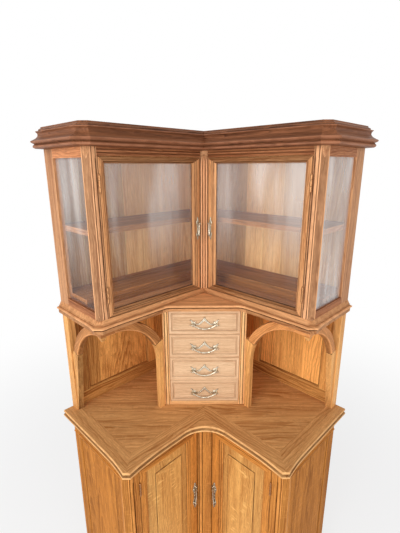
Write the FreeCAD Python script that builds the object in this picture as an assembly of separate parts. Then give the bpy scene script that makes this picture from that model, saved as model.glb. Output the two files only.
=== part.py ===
"""Corner cabinet: cupboard base, counter, drawer block between arched niches, glazed display case.

Units are millimetres, +Z is up, the front faces -Y and the room corner lies on +Y.
Plan positions are given per wing as u (along the wall, from the room corner) and w (out from the
wall). Both wings are mirror images; they meet on the plane u = w, which is X = 0.
"""
import FreeCAD
import Part
import math
import os
from collections import namedtuple

ROOT2 = math.sqrt(2.0)
SIDES = (("left", -1), ("right", 1))

# Overall levels above the floor
COUNTER_TOP = 870.0
COUNTER_THICK = 26.0
MIDDLE_H = 420.0
CASE_BASE_H = 25.0
CASE_FLOOR_H = 18.0
CASE_FRONT_H = 546.0
CORNICE_H = 70.0
PLINTH_H = 70.0
BASE_BOTTOM_H = 18.0
FRIEZE_H = 95.0

# Wing outlines: side plane u and front plane w of each storey
BASE_U = 774.0
BASE_W = 365.0
CASE_U = 770.0
CASE_W = 277.0
POST_FACET = 25.0
BOARD = 20.0
BACK_BOARD = 8.0
PLINTH_STEP = 6.0
BASE_NOSE = 4.0
ASTRAGAL_H = 6.0
ASTRAGAL_OUT = 3.0
POST_DEPTH = 28.0

# Counter outline and edge
COUNTER_OVER_SIDE = 35.0
COUNTER_OVER_FRONT = 76.0
COUNTER_U = BASE_U + COUNTER_OVER_SIDE
COUNTER_W = BASE_W + COUNTER_OVER_FRONT
COUNTER_FLARE = (9.0, 12.0)
COUNTER_FLARE_LEN = (115.0, 160.0)
COUNTER_FACET = 23.0
COUNTER_ROUND = 112.0
COUNTER_BORDER = 62.0
COUNTER_BEAD = 3.0

# Doors
DOOR_GAP = 2.0
DOOR_THICK = 20.0
GLASS_THICK = 4.0
BASE_V_STRIP = 42.0
BASE_POST_WIDTH = 65.0
BASE_DOOR_U = (BASE_W + BASE_V_STRIP, BASE_U - BASE_POST_WIDTH)
BASE_STILES = (61.0, 37.0)
BASE_RAILS = (36.0, 28.0)
BASE_BEVELS = (33.0, 44.0)
BASE_BEVEL_H = 43.0
CASE_V_STRIP = 21.0
CASE_POST_WIDTH = 41.0
CASE_DOOR_U = (CASE_W + CASE_V_STRIP, CASE_U - CASE_POST_WIDTH)
CASE_STILES = (35.0, 26.0)
CASE_RAILS = (21.0, 20.0)
CASE_FRIEZE_H = 25.0

# Drawer block
BLOCK_BEFORE_V = 147.263
BLOCK_D = CASE_W * ROOT2 + BLOCK_BEFORE_V
BLOCK_LENGTH = 339.0
BLOCK_BACK_D = BLOCK_D - BLOCK_LENGTH
BLOCK_INNER_X = 140.5
BLOCK_OUTER_X = 163.0
BLOCK_SIDE = 20.0
BLOCK_POST_D = 24.0
DRAWERS = 4
DRAWER_H = 96.0
DRAWER_PITCH = 102.0
DRAWER_FRONT = 20.0
DRAWER_FIT = 1.0
DRAWER_RUN = 0.5
DRAWER_BOX_L = 300.0
DRAWER_BOX_H = 80.0
DRAWER_BOX_FIT = 1.5
DRAWER_WALL = 12.0
DRAWER_FLOOR = 6.0
DRAWER_BASE_H = 15.5
DIVIDER_SET_BACK = 4.0

# Middle storey
OUTER_POST_W = 38.0
OUTER_POST_U = 28.0
ARCH_SET_BACK = 5.0
ARCH_W = CASE_W - ARCH_SET_BACK
ARCH_THICK = 22.0
ARCH_BAND = 22.0
ARCH_FRONT_R = 186.0
ARCH_FRONT_BEFORE_SIDE = 60.0
ARCH_FRONT_U = CASE_U - ARCH_FRONT_BEFORE_SIDE
ARCH_SIDE_U = CASE_U - ARCH_SET_BACK
ARCH_SIDE_R = 194.0
ARCH_SIDE_BEHIND = 9.0
ARCH_SIDE_W = CASE_W - ARCH_SIDE_BEHIND
ARCH_JOINT_H = 66.0
ARCH_STEPS = 14
PENDANT_H = 15.0
PENDANT_TIP = 6.0
NICHE_BOARD = 12.0
NICHE_FRAME = 8.0
NICHE_RAIL_H = 54.0
NICHE_STILE = (350.0, 390.0)
NICHE_OUTER_STILE = 42.0

# Case base moulding over the drawer block
CASE_FLARE = (4.0, 3.0)
CASE_FLARE_LEN = (60.0, 60.0)
CASE_FACET = 16.0
BRIDGE_ROUND = 60.0
ARC_STEPS = 8

# Display case inside
GLASS_BACK_W = 63.0
SIDE_RAILS = (25.0, 30.0)
GLASS_INSET = 9.0
SHELF_H = 292.0
SHELF_THICK = 18.0
SHELF_SET_BACK = 30.0
STEP_H = 42.0
STEP_W = 165.0
STEP_BOARD = 16.0
TOP_BOARD = 12.0
CORNICE_DEPTH = 20.0

# Beads and grooves on posts
BEAD_R = 6.0
BEAD_STEPS = 6
GROOVE_W = 3.0
GROOVE_D = 3.0
BASE_BEAD_U = BASE_U - 31.0
CASE_BEAD_U = CASE_U - 28.0
BLOCK_BEAD_X = BLOCK_INNER_X + 10.5
CENTRE_BEAD_X = -16.5
CENTRE_BEAD_R = 5.5

# Brassware
PIN_R = 1.5
BORE_FIT = 0.05
HINGE_R = 3.8
HINGE_OUT = 4.0
HINGE_LEAF = 0.8
HINGE_LEAF_DEPTH = 15.0
HINGE_HALF = 10.0
HINGE_SLIT = 0.5
HINGE_KNUCKLE = 15.0
HINGE_INSET = 80.0
HALF_TURN = 180.0
QUARTER_TURN = 90.0
BASE_PULL_BELOW = 455.0
BASE_PULL_IN = 18.0
CASE_PULL_ABOVE = 253.5
CASE_PULL_IN = 15.0
PLATE_THICK = 2.0
EYE_OUT = 9.0
EYE_R = 3.2
EYE_HALF = 2.0
LUG_GAP = 0.3
LUG_THICK = 2.0
DROP_THICK = 5.0
BAIL_REACH = 44.0
BAIL_SAG = 17.0
BAIL_R = 2.5
BAIL_OUT = 11.0
BAIL_EYE_LEN = 4.0
BAIL_POST_R = 3.5
BAIL_DROP = 7.0
ROSETTE_R = 10.0

CASE_BASE_Z = COUNTER_TOP + MIDDLE_H
CASE_FLOOR_Z = CASE_BASE_Z + CASE_BASE_H
CASE_Z = CASE_FLOOR_Z + CASE_FLOOR_H
CORNICE_Z = CASE_Z + CASE_FRONT_H
COUNTER_Z = COUNTER_TOP - COUNTER_THICK
FRIEZE_Z = COUNTER_Z - FRIEZE_H
BASE_Z = PLINTH_H + BASE_BOTTOM_H
POST_LEG = POST_FACET / ROOT2


def flared_corner(side_u, front_w, flare, lengths, facet):
    """Outline from the wall to the V: side edge, flared front corner, frontal facet, front edge."""
    leg = facet / ROOT2
    tip_u = side_u + flare[0]
    tip_w = front_w + flare[1]
    facet_w = tip_w - leg
    facet_u = tip_u - leg
    points = [(side_u, 0.0), (side_u, facet_w - lengths[0])]
    for share, lift in ((0.35, 0.10), (0.60, 0.30), (0.82, 0.62)):
        points.append((side_u + lift * flare[0], facet_w - lengths[0] * (1.0 - share)))
    points += [(tip_u, facet_w), (facet_u, tip_w)]
    for share, lift in ((0.82, 0.62), (0.60, 0.30), (0.35, 0.10)):
        points.append((facet_u - lengths[1] * (1.0 - share), front_w + lift * flare[1]))
    points += [(facet_u - lengths[1], front_w), (front_w, front_w)]
    return points


def facet_corner(side_u, front_w, inner_u=None):
    """Outline with the plain frontal facet of the posts, ending at the V or at inner_u."""
    end = (inner_u, front_w) if inner_u else (front_w, front_w)
    return [(side_u, 0.0), (side_u, front_w - POST_LEG), (side_u - POST_LEG, front_w), end]


COUNTER_PATH = flared_corner(COUNTER_U, COUNTER_W, COUNTER_FLARE, COUNTER_FLARE_LEN, COUNTER_FACET)
CASE_BASE_PATH = flared_corner(CASE_U, CASE_W, CASE_FLARE, CASE_FLARE_LEN, CASE_FACET)
FACET_INDEX = 5
FRONT_D = (COUNTER_PATH[FACET_INDEX][0] + COUNTER_PATH[FACET_INDEX][1]) / ROOT2 + COUNTER_BEAD
Y_SHIFT = FRONT_D / 2.0


def vec(side, u, w, z):
    """Point of a wing in model space."""
    return FreeCAD.Vector(side * (u - w) / ROOT2, Y_SHIFT - (u + w) / ROOT2, z)


def mid(x, d, z):
    """Point of the frontal block: x across, d is the distance in front of the room corner."""
    return FreeCAD.Vector(x, Y_SHIFT - d, z)


def flat_faces(points):
    """One planar face through the points, or two triangles when four points are not planar."""
    a, b, c = points[0], points[1], points[2]
    normal = (b - a).cross(c - a)
    if len(points) == 4 and normal.Length > 1e-9:
        normal.normalize()
        if abs((points[3] - a).dot(normal)) > 1e-5:
            halves = ([a, b, c, a], [a, c, points[3], a])
            return [Part.Face(Part.makePolygon(half)) for half in halves]
    return [Part.Face(Part.makePolygon(points + [a]))]


def ring_solid(rings):
    """Solid through a row of closed rings that all have the same number of points."""
    faces = flat_faces(rings[0]) + flat_faces(rings[-1])
    for low, high in zip(rings, rings[1:]):
        for i in range(len(low)):
            j = (i + 1) % len(low)
            faces += flat_faces([low[i], low[j], high[j], high[i]])
    solid = Part.makeSolid(Part.makeShell(faces))
    if solid.Volume < 0:
        solid.reverse()
    return solid


def meet(a, b):
    """Crossing point of two lines given as (nu, nw, distance)."""
    det = a[0] * b[1] - a[1] * b[0]
    return ((a[2] * b[1] - a[1] * b[2]) / det, (a[0] * b[2] - a[2] * b[0]) / det)


def grow(path, out):
    """Offset an open outline outwards; its ends slide on the wall line and on the V or end line."""
    lines = [(0.0, 1.0, path[0][1])]
    for (u0, w0), (u1, w1) in zip(path, path[1:]):
        length = math.hypot(u1 - u0, w1 - w0)
        nu = (w1 - w0) / length
        nw = (u0 - u1) / length
        lines.append((nu, nw, nu * u0 + nw * w0 + out))
    u_end, w_end = path[-1]
    on_mirror = abs(u_end - w_end) < 1e-6
    lines.append((1.0, -1.0, 0.0) if on_mirror else (1.0, 0.0, u_end))
    return [meet(a, b) for a, b in zip(lines, lines[1:])]


def slab(side, path, profile):
    """Board from the room corner to an outline; profile rows are (z, projection)."""
    rings = []
    for z, out in profile:
        points = [(0.0, 0.0)] + grow(path, out)
        rings.append([vec(side, u, w, z) for u, w in points])
    return ring_solid(rings)


def bands(side, path, depth, profile):
    """Mitred strips along every edge of an outline, depth wide behind it."""
    inner = grow(path, -depth)
    solids = []
    for i in range(len(path) - 1):
        rings = []
        for z, out in profile:
            outer = grow(path, out)
            quad = [outer[i], outer[i + 1], inner[i + 1], inner[i]]
            rings.append([vec(side, u, w, z) for u, w in quad])
        solids.append(ring_solid(rings))
    return solids


def prism(side, points, z0, z1):
    """Upright prism over a plan polygon of a wing."""
    return ring_solid([[vec(side, u, w, z) for u, w in points] for z in (z0, z1)])


def wing_box(side, us, ws, zs):
    """Box aligned with a wall."""
    points = [(us[0], ws[0]), (us[1], ws[0]), (us[1], ws[1]), (us[0], ws[1])]
    return prism(side, points, zs[0], zs[1])


def mid_box(xs, ds, zs):
    """Box of the frontal block."""
    corner = mid(xs[0], ds[1], zs[0])
    return Part.makeBox(xs[1] - xs[0], ds[1] - ds[0], zs[1] - zs[0], corner)


def wing_put(side):
    """Placing function for shapes drawn on a wing plane."""
    return lambda a, depth, z: vec(side, a, depth, z)


def rect(a0, a1, z0, z1):
    """Corner list of an upright rectangle."""
    return [(a0, z0), (a1, z0), (a1, z1), (a0, z1)]


def inset(corners, by):
    """Rectangle made smaller by the same amount on all sides."""
    (a0, z0), (a1, _), (_, z1), _ = corners
    return rect(a0 + by, a1 - by, z0 + by, z1 - by)


def terrace(put, steps):
    """Panel or moulded front through rectangles at given depths."""
    return ring_solid([[put(a, depth, z) for a, z in corners] for corners, depth in steps])


def mitred_frame(put, outer, inner, profile):
    """Four mitred members; profile rows are (share of the width from the outside, depth)."""
    ends = []
    for (a0, z0), (a1, z1) in zip(outer, inner):
        ends.append([put(a0 + t * (a1 - a0), depth, z0 + t * (z1 - z0)) for t, depth in profile])
    return [ring_solid([ends[i], ends[(i + 1) % 4]]) for i in range(4)]


def beaded_face(centre, radius, plane):
    """Face points of a bead between two grooves, in rising order along the face."""
    edge = radius + GROOVE_W
    points = [(centre - edge, plane), (centre - edge, plane - GROOVE_D)]
    points.append((centre - radius, plane - GROOVE_D))
    for i in range(BEAD_STEPS + 1):
        angle = math.pi * (1.0 - i / BEAD_STEPS)
        lift = radius * math.sin(angle) * 0.5
        points.append((centre + radius * math.cos(angle), plane - GROOVE_D + lift + 0.4))
    points.append((centre + radius, plane - GROOVE_D))
    points += [(centre + edge, plane - GROOVE_D), (centre + edge, plane)]
    return points


def compound(shapes):
    """Several solids of one node."""
    return Part.makeCompound(shapes)


def both(make):
    """The same solid on both wings."""
    return compound([make(side) for _, side in SIDES])


def plinth():
    """Plinth boards round the base, a little proud of it."""
    path = facet_corner(BASE_U, BASE_W)
    top = PLINTH_H
    profile = ((0.0, PLINTH_STEP), (top - 8.0, PLINTH_STEP), (top - 2.0, 1.0), (top, 0.0))
    return compound([solid for _, side in SIDES for solid in bands(side, path, BOARD, profile)])


def base_bottom():
    """Bottom board with a rounded nose."""
    low = PLINTH_H
    rows = ((0.0, 0.0), (2.0, 3.0), (5.0, BASE_NOSE), (13.0, BASE_NOSE), (16.0, 3.0), (18.0, 0.0))
    path = facet_corner(BASE_U, BASE_W)
    return both(lambda side: slab(side, path, [(low + z, out) for z, out in rows]))


def base_sides():
    """Upright side boards of the cupboard."""
    span = (BASE_U - BOARD, BASE_U)
    return both(lambda side: wing_box(side, span, (0.0, BASE_W - POST_DEPTH), (BASE_Z, COUNTER_Z)))


def back_pair(u_end, thick, z0, z1):
    """Two boards against the walls, mitred in the room corner."""
    points = [(0.0, 0.0), (u_end, 0.0), (u_end, thick), (thick, thick)]
    return both(lambda side: prism(side, points, z0, z1))


def back_boards():
    """Boards against the walls behind the cupboard and behind the display case."""
    base = back_pair(BASE_U - BOARD, BACK_BOARD, BASE_Z, COUNTER_Z)
    case = back_pair(CASE_U - BOARD, BACK_BOARD, CASE_Z, CORNICE_Z)
    return compound(base.Solids + case.Solids)


def corner_post_points(side_u, front_w, inner_u, depth, bead_u):
    """Plan of a front corner post: beaded front face and frontal facet."""
    face = beaded_face(bead_u, BEAD_R, front_w)
    points = [(inner_u, front_w - depth), (inner_u, front_w)] + face
    points += [(side_u - POST_LEG, front_w), (side_u, front_w - POST_LEG)]
    if depth > POST_LEG + 0.1:
        points.append((side_u, front_w - depth))
    return points


def base_corner_posts():
    """Front corner posts of the base."""
    inner_u = BASE_DOOR_U[1] + DOOR_GAP
    points = corner_post_points(BASE_U, BASE_W, inner_u, POST_DEPTH, BASE_BEAD_U)
    return both(lambda side: prism(side, points, BASE_Z, FRIEZE_Z))


def strip_post(edge, front_w, depth, z0, z1, bead_x, bead_r):
    """Centre post in the V: a square with a frontal face that carries one bead."""
    back = front_w - depth
    half = (edge - front_w) / ROOT2
    face_d = (edge + front_w) / ROOT2
    plan = [mid((edge - back) / ROOT2, (edge + back) / ROOT2, 0.0), mid(half, face_d, 0.0)]
    if bead_r:
        for x, d in reversed(beaded_face(bead_x, bead_r, face_d)):
            plan.append(mid(x, d, 0.0))
    plan += [mid(-half, face_d, 0.0), mid(-(edge - back) / ROOT2, (edge + back) / ROOT2, 0.0)]
    plan.append(mid(0.0, back * ROOT2, 0.0))
    low = [FreeCAD.Vector(p.x, p.y, z0) for p in plan]
    high = [FreeCAD.Vector(p.x, p.y, z1) for p in plan]
    return ring_solid([low, high])


def base_centre_post():
    """Centre post between the two cupboard doors."""
    edge = BASE_DOOR_U[0] - DOOR_GAP
    return strip_post(edge, BASE_W, POST_DEPTH, BASE_Z, COUNTER_Z, CENTRE_BEAD_X, CENTRE_BEAD_R)


def base_frieze():
    """Frieze boards over the cupboard doors, with the corner facet."""
    inner_u = BASE_DOOR_U[0] - DOOR_GAP
    back = BASE_W - POST_DEPTH
    points = [(inner_u, back), (BASE_U, back), (BASE_U, BASE_W - POST_LEG)]
    points += [(BASE_U - POST_LEG, BASE_W), (inner_u, BASE_W)]
    return both(lambda side: prism(side, points, FRIEZE_Z, COUNTER_Z))


def base_astragal():
    """Small moulding under the frieze, carried round the side."""
    path = facet_corner(BASE_U, BASE_W, BASE_DOOR_U[0] - DOOR_GAP)
    low = FRIEZE_Z
    out = ASTRAGAL_OUT
    rows = ((0.0, 0.6), (1.2, out * 0.8), (3.0, out), (4.8, out * 0.8), (ASTRAGAL_H, 0.6))
    profile = [(low + z, p) for z, p in rows]
    return compound([solid for _, side in SIDES for solid in bands(side, path, 0.0, profile)])


def counter_profile():
    """Edge of the counter: lower bead, cove, upper bead."""
    rows = ((0.0, 0.0), (2.0, 2.2), (5.0, COUNTER_BEAD), (8.0, 2.2), (10.0, -1.0), (12.0, -4.0))
    rows += ((14.0, -4.0), (16.0, -1.5), (18.0, 0.4), (21.0, 1.0), (24.0, 0.2), (26.0, -2.0))
    return [(COUNTER_Z + z, out) for z, out in rows]


def mitre_point():
    """Middle of the counter's corner facet."""
    a, b = COUNTER_PATH[FACET_INDEX], COUNTER_PATH[FACET_INDEX + 1]
    return ((a[0] + b[0]) / 2.0, (a[1] + b[1]) / 2.0)


def border_corner():
    """Inner corner of the border, on the mitre line of the corner facet."""
    u, w = mitre_point()
    inner_u = COUNTER_U - COUNTER_BORDER
    return (inner_u, w - (u - inner_u))


def border_solids(side):
    """Side strip and front strip of the moulded border."""
    inner = border_corner()
    split = FACET_INDEX + 1
    side_rings = []
    front_rings = []
    for z, out in counter_profile():
        outer = grow(COUNTER_PATH, out)
        a, b = outer[FACET_INDEX], outer[split]
        half = ((a[0] + b[0]) / 2.0, (a[1] + b[1]) / 2.0)
        ring = [(inner[0], 0.0)] + outer[:split] + [half, inner]
        side_rings.append([vec(side, u, w, z) for u, w in ring])
        ring = [half] + outer[split:] + [(inner[1], inner[1]), inner]
        front_rings.append([vec(side, u, w, z) for u, w in ring])
    return [ring_solid(side_rings), ring_solid(front_rings)]


def turned_arc(centre_u, centre_w, radius, a0, a1, steps):
    """Points and outward normals of a concave arc between two normal angles."""
    rows = []
    for i in range(steps + 1):
        angle = math.radians(a0 + (a1 - a0) * i / steps)
        normal = (math.cos(angle), math.sin(angle))
        rows.append(((centre_u - radius * normal[0], centre_w - radius * normal[1]), normal))
    return rows


def v_fill(front_w, rows, profile):
    """Solid that fills the V in front of both wings up to a curved line."""
    rings = []
    for z, out in profile:
        ring = [(front_w + out, front_w + out)]
        ring += [(u + out * nu, w + out * nw) for (u, w), (nu, nw) in rows]
        rings.append([vec(1, u, w, z) for u, w in ring])
    return ring_solid(rings)


def counter_border():
    """Moulded border with the rounded fill of the V."""
    centre = COUNTER_W + COUNTER_ROUND
    rows = turned_arc(centre, centre, COUNTER_ROUND, QUARTER_TURN, 0.0, 2 * ARC_STEPS)
    solids = [solid for _, side in SIDES for solid in border_solids(side)]
    return compound(solids + [v_fill(COUNTER_W, rows, counter_profile())])


def counter_field():
    """Planked middle of the counter."""
    inner_u, inner_w = border_corner()
    points = [(0.0, 0.0), (inner_u, 0.0), (inner_u, inner_w), (inner_w, inner_w)]
    return both(lambda side: prism(side, points, COUNTER_Z, COUNTER_TOP))


def drawer_case():
    """Bottom strip, sides and back of the drawer block."""
    z0, z1 = COUNTER_TOP, CASE_BASE_Z
    post_d = BLOCK_D - BLOCK_POST_D
    x0, x1 = BLOCK_INNER_X, BLOCK_INNER_X + BLOCK_SIDE
    back = (BLOCK_BACK_D, BLOCK_BACK_D + NICHE_BOARD)
    solids = [mid_box((-x0, x0), (back[1], BLOCK_D), (z0, z0 + DRAWER_BASE_H))]
    solids.append(mid_box((-x0, x0), back, (z0, z1)))
    for x in ((-x1, -x0), (x0, x1)):
        solids.append(mid_box(x, (BLOCK_BACK_D, post_d), (z0, z1)))
    return compound(solids)


def drawer_z(index):
    """Lower edge of a drawer front, counted from the top drawer."""
    row = DRAWERS - 1 - index
    return COUNTER_TOP + DRAWER_BASE_H + DRAWER_RUN + row * DRAWER_PITCH


def drawer_dividers():
    """Boards between the drawers."""
    solids = []
    x = BLOCK_INNER_X
    depth = (BLOCK_BACK_D + NICHE_BOARD, BLOCK_D - DIVIDER_SET_BACK)
    for index in range(DRAWERS - 1):
        low = drawer_z(index + 1) + DRAWER_H + DRAWER_RUN
        solids.append(mid_box((-x, x), depth, (low, drawer_z(index) - DRAWER_RUN)))
    return compound(solids)


def block_posts():
    """Beaded posts beside the drawers."""
    solids = []
    back = BLOCK_D - BLOCK_POST_D
    for sign in (-1.0, 1.0):
        face = [(BLOCK_INNER_X, back), (BLOCK_INNER_X, BLOCK_D)]
        face += beaded_face(BLOCK_BEAD_X, BEAD_R, BLOCK_D)
        face += [(BLOCK_OUTER_X, BLOCK_D), (BLOCK_OUTER_X, back)]
        rings = [[mid(sign * x, d, z) for x, d in face] for z in (COUNTER_TOP, CASE_BASE_Z)]
        solids.append(ring_solid(rings))
    return compound(solids)


def outer_posts():
    """Posts at the walls under the display case."""
    span = (CASE_U - OUTER_POST_U, CASE_U)
    return both(lambda side: wing_box(side, span, (0.0, OUTER_POST_W), (COUNTER_TOP, CASE_BASE_Z)))


def arc_points(centre_a, centre_z, radius, a0, a1):
    """Points of an arc in an upright plane."""
    points = []
    for i in range(ARCH_STEPS + 1):
        angle = math.radians(a0 + (a1 - a0) * i / ARCH_STEPS)
        points.append((centre_a + radius * math.cos(angle), centre_z + radius * math.sin(angle)))
    return points


def front_arch(side):
    """Front rail: jamb at the drawer block, quarter round and flat crown."""
    spring = CASE_BASE_Z - ARCH_BAND - ARCH_FRONT_R
    outer_r = ARCH_FRONT_R + ARCH_BAND
    jamb = ARCH_FRONT_U - ARCH_FRONT_R
    foot = jamb - 2.0 * ARCH_THICK - ARCH_BAND
    outline = [(foot, COUNTER_TOP), (jamb, COUNTER_TOP)]
    outline += arc_points(ARCH_FRONT_U, spring, ARCH_FRONT_R, HALF_TURN, QUARTER_TURN)
    outline += [(ARCH_SIDE_U, spring + ARCH_FRONT_R), (ARCH_SIDE_U, spring + outer_r)]
    outline += arc_points(ARCH_FRONT_U, spring, outer_r, QUARTER_TURN, HALF_TURN)
    outline.append((foot, spring))
    faces = [[vec(side, u, w, z) for u, z in outline] for w in (ARCH_W - ARCH_THICK, ARCH_W)]
    keep = mid_box((BLOCK_OUTER_X, CASE_U), (0.0, FRONT_D), (0.0, CORNICE_Z))
    if side < 0:
        keep = mid_box((-CASE_U, -BLOCK_OUTER_X), (0.0, FRONT_D), (0.0, CORNICE_Z))
    return ring_solid(faces).common(keep)


def side_arch(side):
    """Side rail: tapering haunch at the outer post, rounded into the crown."""
    spring = CASE_BASE_Z - ARCH_BAND - ARCH_SIDE_R
    outer_r = ARCH_SIDE_R + ARCH_BAND
    start_in = math.degrees(math.acos((ARCH_SIDE_W - (ARCH_W - ARCH_THICK)) / ARCH_SIDE_R))
    start_out = math.degrees(math.acos((ARCH_SIDE_W - (ARCH_W - ARCH_THICK)) / outer_r))
    joint_out = math.degrees(math.asin(ARCH_JOINT_H / outer_r))
    outline = [(OUTER_POST_W, COUNTER_TOP)]
    outline.append((OUTER_POST_W + GROOVE_W, COUNTER_TOP))
    outline += arc_points(ARCH_SIDE_W, spring, ARCH_SIDE_R, HALF_TURN, HALF_TURN - start_in)
    ends = (HALF_TURN - start_out, HALF_TURN - joint_out)
    outline += arc_points(ARCH_SIDE_W, spring, outer_r, ends[0], ends[1])
    outline.append((OUTER_POST_W, spring + ARCH_JOINT_H - ARCH_BAND))
    span = (ARCH_SIDE_U - ARCH_THICK, ARCH_SIDE_U)
    return ring_solid([[vec(side, u, w, z) for w, z in outline] for u in span])


def pendant(side):
    """Small tip under the outer corner of an arch."""
    top = CASE_BASE_Z - ARCH_BAND
    rings = []
    for z, cut in ((top - PENDANT_H, PENDANT_TIP), (top, 0.0)):
        u0, u1 = ARCH_SIDE_U - ARCH_THICK + cut, ARCH_SIDE_U - cut
        w0, w1 = ARCH_W - ARCH_THICK + cut, ARCH_W - cut
        points = [(u0, w0), (u1, w0), (u1, w1), (u0, w1)]
        rings.append([vec(side, u, w, z) for u, w in points])
    return ring_solid(rings)


def arch(side):
    """Front rail, side rail and pendant of one niche."""
    return compound(front_arch(side).Solids + [side_arch(side), pendant(side)])


def niche_backs():
    """Framed panels at the back of the niches."""
    z0, z1 = COUNTER_TOP, CASE_BASE_Z
    u_end = CASE_U - OUTER_POST_U
    board, face = NICHE_BOARD, NICHE_BOARD + NICHE_FRAME
    solids = []
    for _, side in SIDES:
        points = [(0.0, 0.0), (u_end, 0.0), (u_end, board), (board, board)]
        solids.append(prism(side, points, z0, z1))
        rail_u = (NICHE_STILE[0], u_end)
        solids.append(wing_box(side, rail_u, (board, face), (z0, z0 + NICHE_RAIL_H)))
        solids.append(wing_box(side, rail_u, (board, face), (z1 - NICHE_RAIL_H, z1)))
        stile_z = (z0 + NICHE_RAIL_H, z1 - NICHE_RAIL_H)
        solids.append(wing_box(side, NICHE_STILE, (board, face), stile_z))
        outer = (u_end - NICHE_OUTER_STILE, u_end)
        solids.append(wing_box(side, outer, (board, face), stile_z))
    return compound(solids)


def case_base():
    """Moulded board under the display case, bridging the V over the drawers."""
    rows = ((0.0, 12.0), (12.0, 12.5), (14.0, 9.0), (16.0, 9.0), (17.0, 16.0), (19.0, 18.5))
    rows += ((22.0, 18.5), (24.0, 16.0), (25.0, 13.0))
    profile = [(CASE_BASE_Z + z, out) for z, out in rows]
    solids = [slab(side, CASE_BASE_PATH, profile) for _, side in SIDES]
    centre_u = BLOCK_D * ROOT2 + (ROOT2 - 1.0) * BRIDGE_ROUND - CASE_W
    centre_w = CASE_W + BRIDGE_ROUND
    arc = turned_arc(centre_u, centre_w, BRIDGE_ROUND, QUARTER_TURN, QUARTER_TURN / 2.0, ARC_STEPS)
    mirrored = [((w, u), (nw, nu)) for (u, w), (nu, nw) in reversed(arc)]
    solids.append(v_fill(CASE_W, arc + mirrored, profile))
    return compound(solids)


def case_floor():
    """Floor board of the display case with an upper bead and a slope."""
    rows = ((0.0, 6.0), (1.0, 9.0), (2.5, 10.0), (4.0, 9.0), (5.0, 7.0), (18.0, 0.0))
    profile = [(CASE_FLOOR_Z + z, out) for z, out in rows]
    return both(lambda side: slab(side, facet_corner(CASE_U, CASE_W), profile))


def case_front_posts():
    """Front corner posts of the display case."""
    inner_u = CASE_DOOR_U[1] + DOOR_GAP
    points = corner_post_points(CASE_U, CASE_W, inner_u, BOARD, CASE_BEAD_U)
    return both(lambda side: prism(side, points, CASE_Z, CORNICE_Z))


def case_centre_post():
    """Centre post between the glass doors."""
    edge = CASE_DOOR_U[0] - DOOR_GAP
    return strip_post(edge, CASE_W, BOARD, CASE_Z, CORNICE_Z, 0.0, 0.0)


def case_back_posts():
    """Back stiles of the display case sides."""
    span = (CASE_U - BOARD, CASE_U)
    return both(lambda side: wing_box(side, span, (0.0, GLASS_BACK_W), (CASE_Z, CORNICE_Z)))


def case_rails():
    """Side rails over and under the glass."""
    span = (CASE_U - BOARD, CASE_U)
    depth = (GLASS_BACK_W, CASE_W - BOARD)
    solids = []
    for _, side in SIDES:
        solids.append(wing_box(side, span, depth, (CASE_Z, CASE_Z + SIDE_RAILS[0])))
        solids.append(wing_box(side, span, depth, (CORNICE_Z - SIDE_RAILS[1], CORNICE_Z)))
    return compound(solids)


def case_frieze():
    """Rails over the glass doors."""
    span = (CASE_DOOR_U[0] - DOOR_GAP, CASE_DOOR_U[1] + DOOR_GAP)
    zs = (CORNICE_Z - CASE_FRIEZE_H, CORNICE_Z)
    return both(lambda side: wing_box(side, span, (CASE_W - BOARD, CASE_W), zs))


def side_glass():
    """Panes in the sides."""
    outer = CASE_U - GLASS_INSET
    span = (outer - GLASS_THICK, outer)
    depth = (GLASS_BACK_W, CASE_W - BOARD)
    zs = (CASE_Z + SIDE_RAILS[0], CORNICE_Z - SIDE_RAILS[1])
    return both(lambda side: wing_box(side, span, depth, zs))


def inner_board(front_w, z0, z1):
    """Board inside the display case from the back boards to front_w."""
    b, u = BACK_BOARD, CASE_U - BOARD
    points = [(b, b), (u, b), (u, front_w), (front_w, front_w)]
    return both(lambda side: prism(side, points, z0, z1))


def shelf():
    """Wooden shelf that follows the V."""
    z = CASE_Z + SHELF_H
    return inner_board(CASE_W - BOARD - SHELF_SET_BACK, z - SHELF_THICK, z)


def display_step():
    """Raised step on the floor of the display case: top and riser."""
    top = CASE_Z + STEP_H
    low = top - STEP_BOARD
    solids = [inner_board(STEP_W, low, top)]
    riser = [(STEP_W - STEP_BOARD, STEP_W - STEP_BOARD), (CASE_U - BOARD, STEP_W - STEP_BOARD)]
    riser += [(CASE_U - BOARD, STEP_W), (STEP_W, STEP_W)]
    solids.append(both(lambda side: prism(side, riser, CASE_Z, low)))
    return compound([solid for item in solids for solid in item.Solids])


def top_board():
    """Board inside the cornice that closes the display case."""
    points = [(0.0, 0.0)] + grow(facet_corner(CASE_U, CASE_W), -CORNICE_DEPTH)
    return both(lambda side: prism(side, points, CORNICE_Z, CORNICE_Z + TOP_BOARD))


def cornice():
    """Crown moulding with mitres at the facets and in the V."""
    rows = ((0.0, 3.0), (0.7, 24.0), (2.0, 30.0), (6.0, 35.0), (9.0, 34.5), (12.5, 32.0))
    rows += ((14.0, 30.0), (16.0, 30.0), (18.0, 36.0), (22.0, 41.0), (25.0, 39.0), (28.0, 33.0))
    rows += ((32.0, 25.0), (37.0, 18.5), (43.0, 14.5), (49.0, 15.5), (54.0, 20.5), (56.0, 20.5))
    rows += ((58.0, 11.0), (62.0, 10.0), (65.0, 5.0), (67.0, 2.0), (CORNICE_H, 2.0))
    profile = [(CORNICE_Z + z, out) for z, out in rows]
    path = facet_corner(CASE_U, CASE_W)
    return compound([s for _, side in SIDES for s in bands(side, path, CORNICE_DEPTH, profile)])


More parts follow.
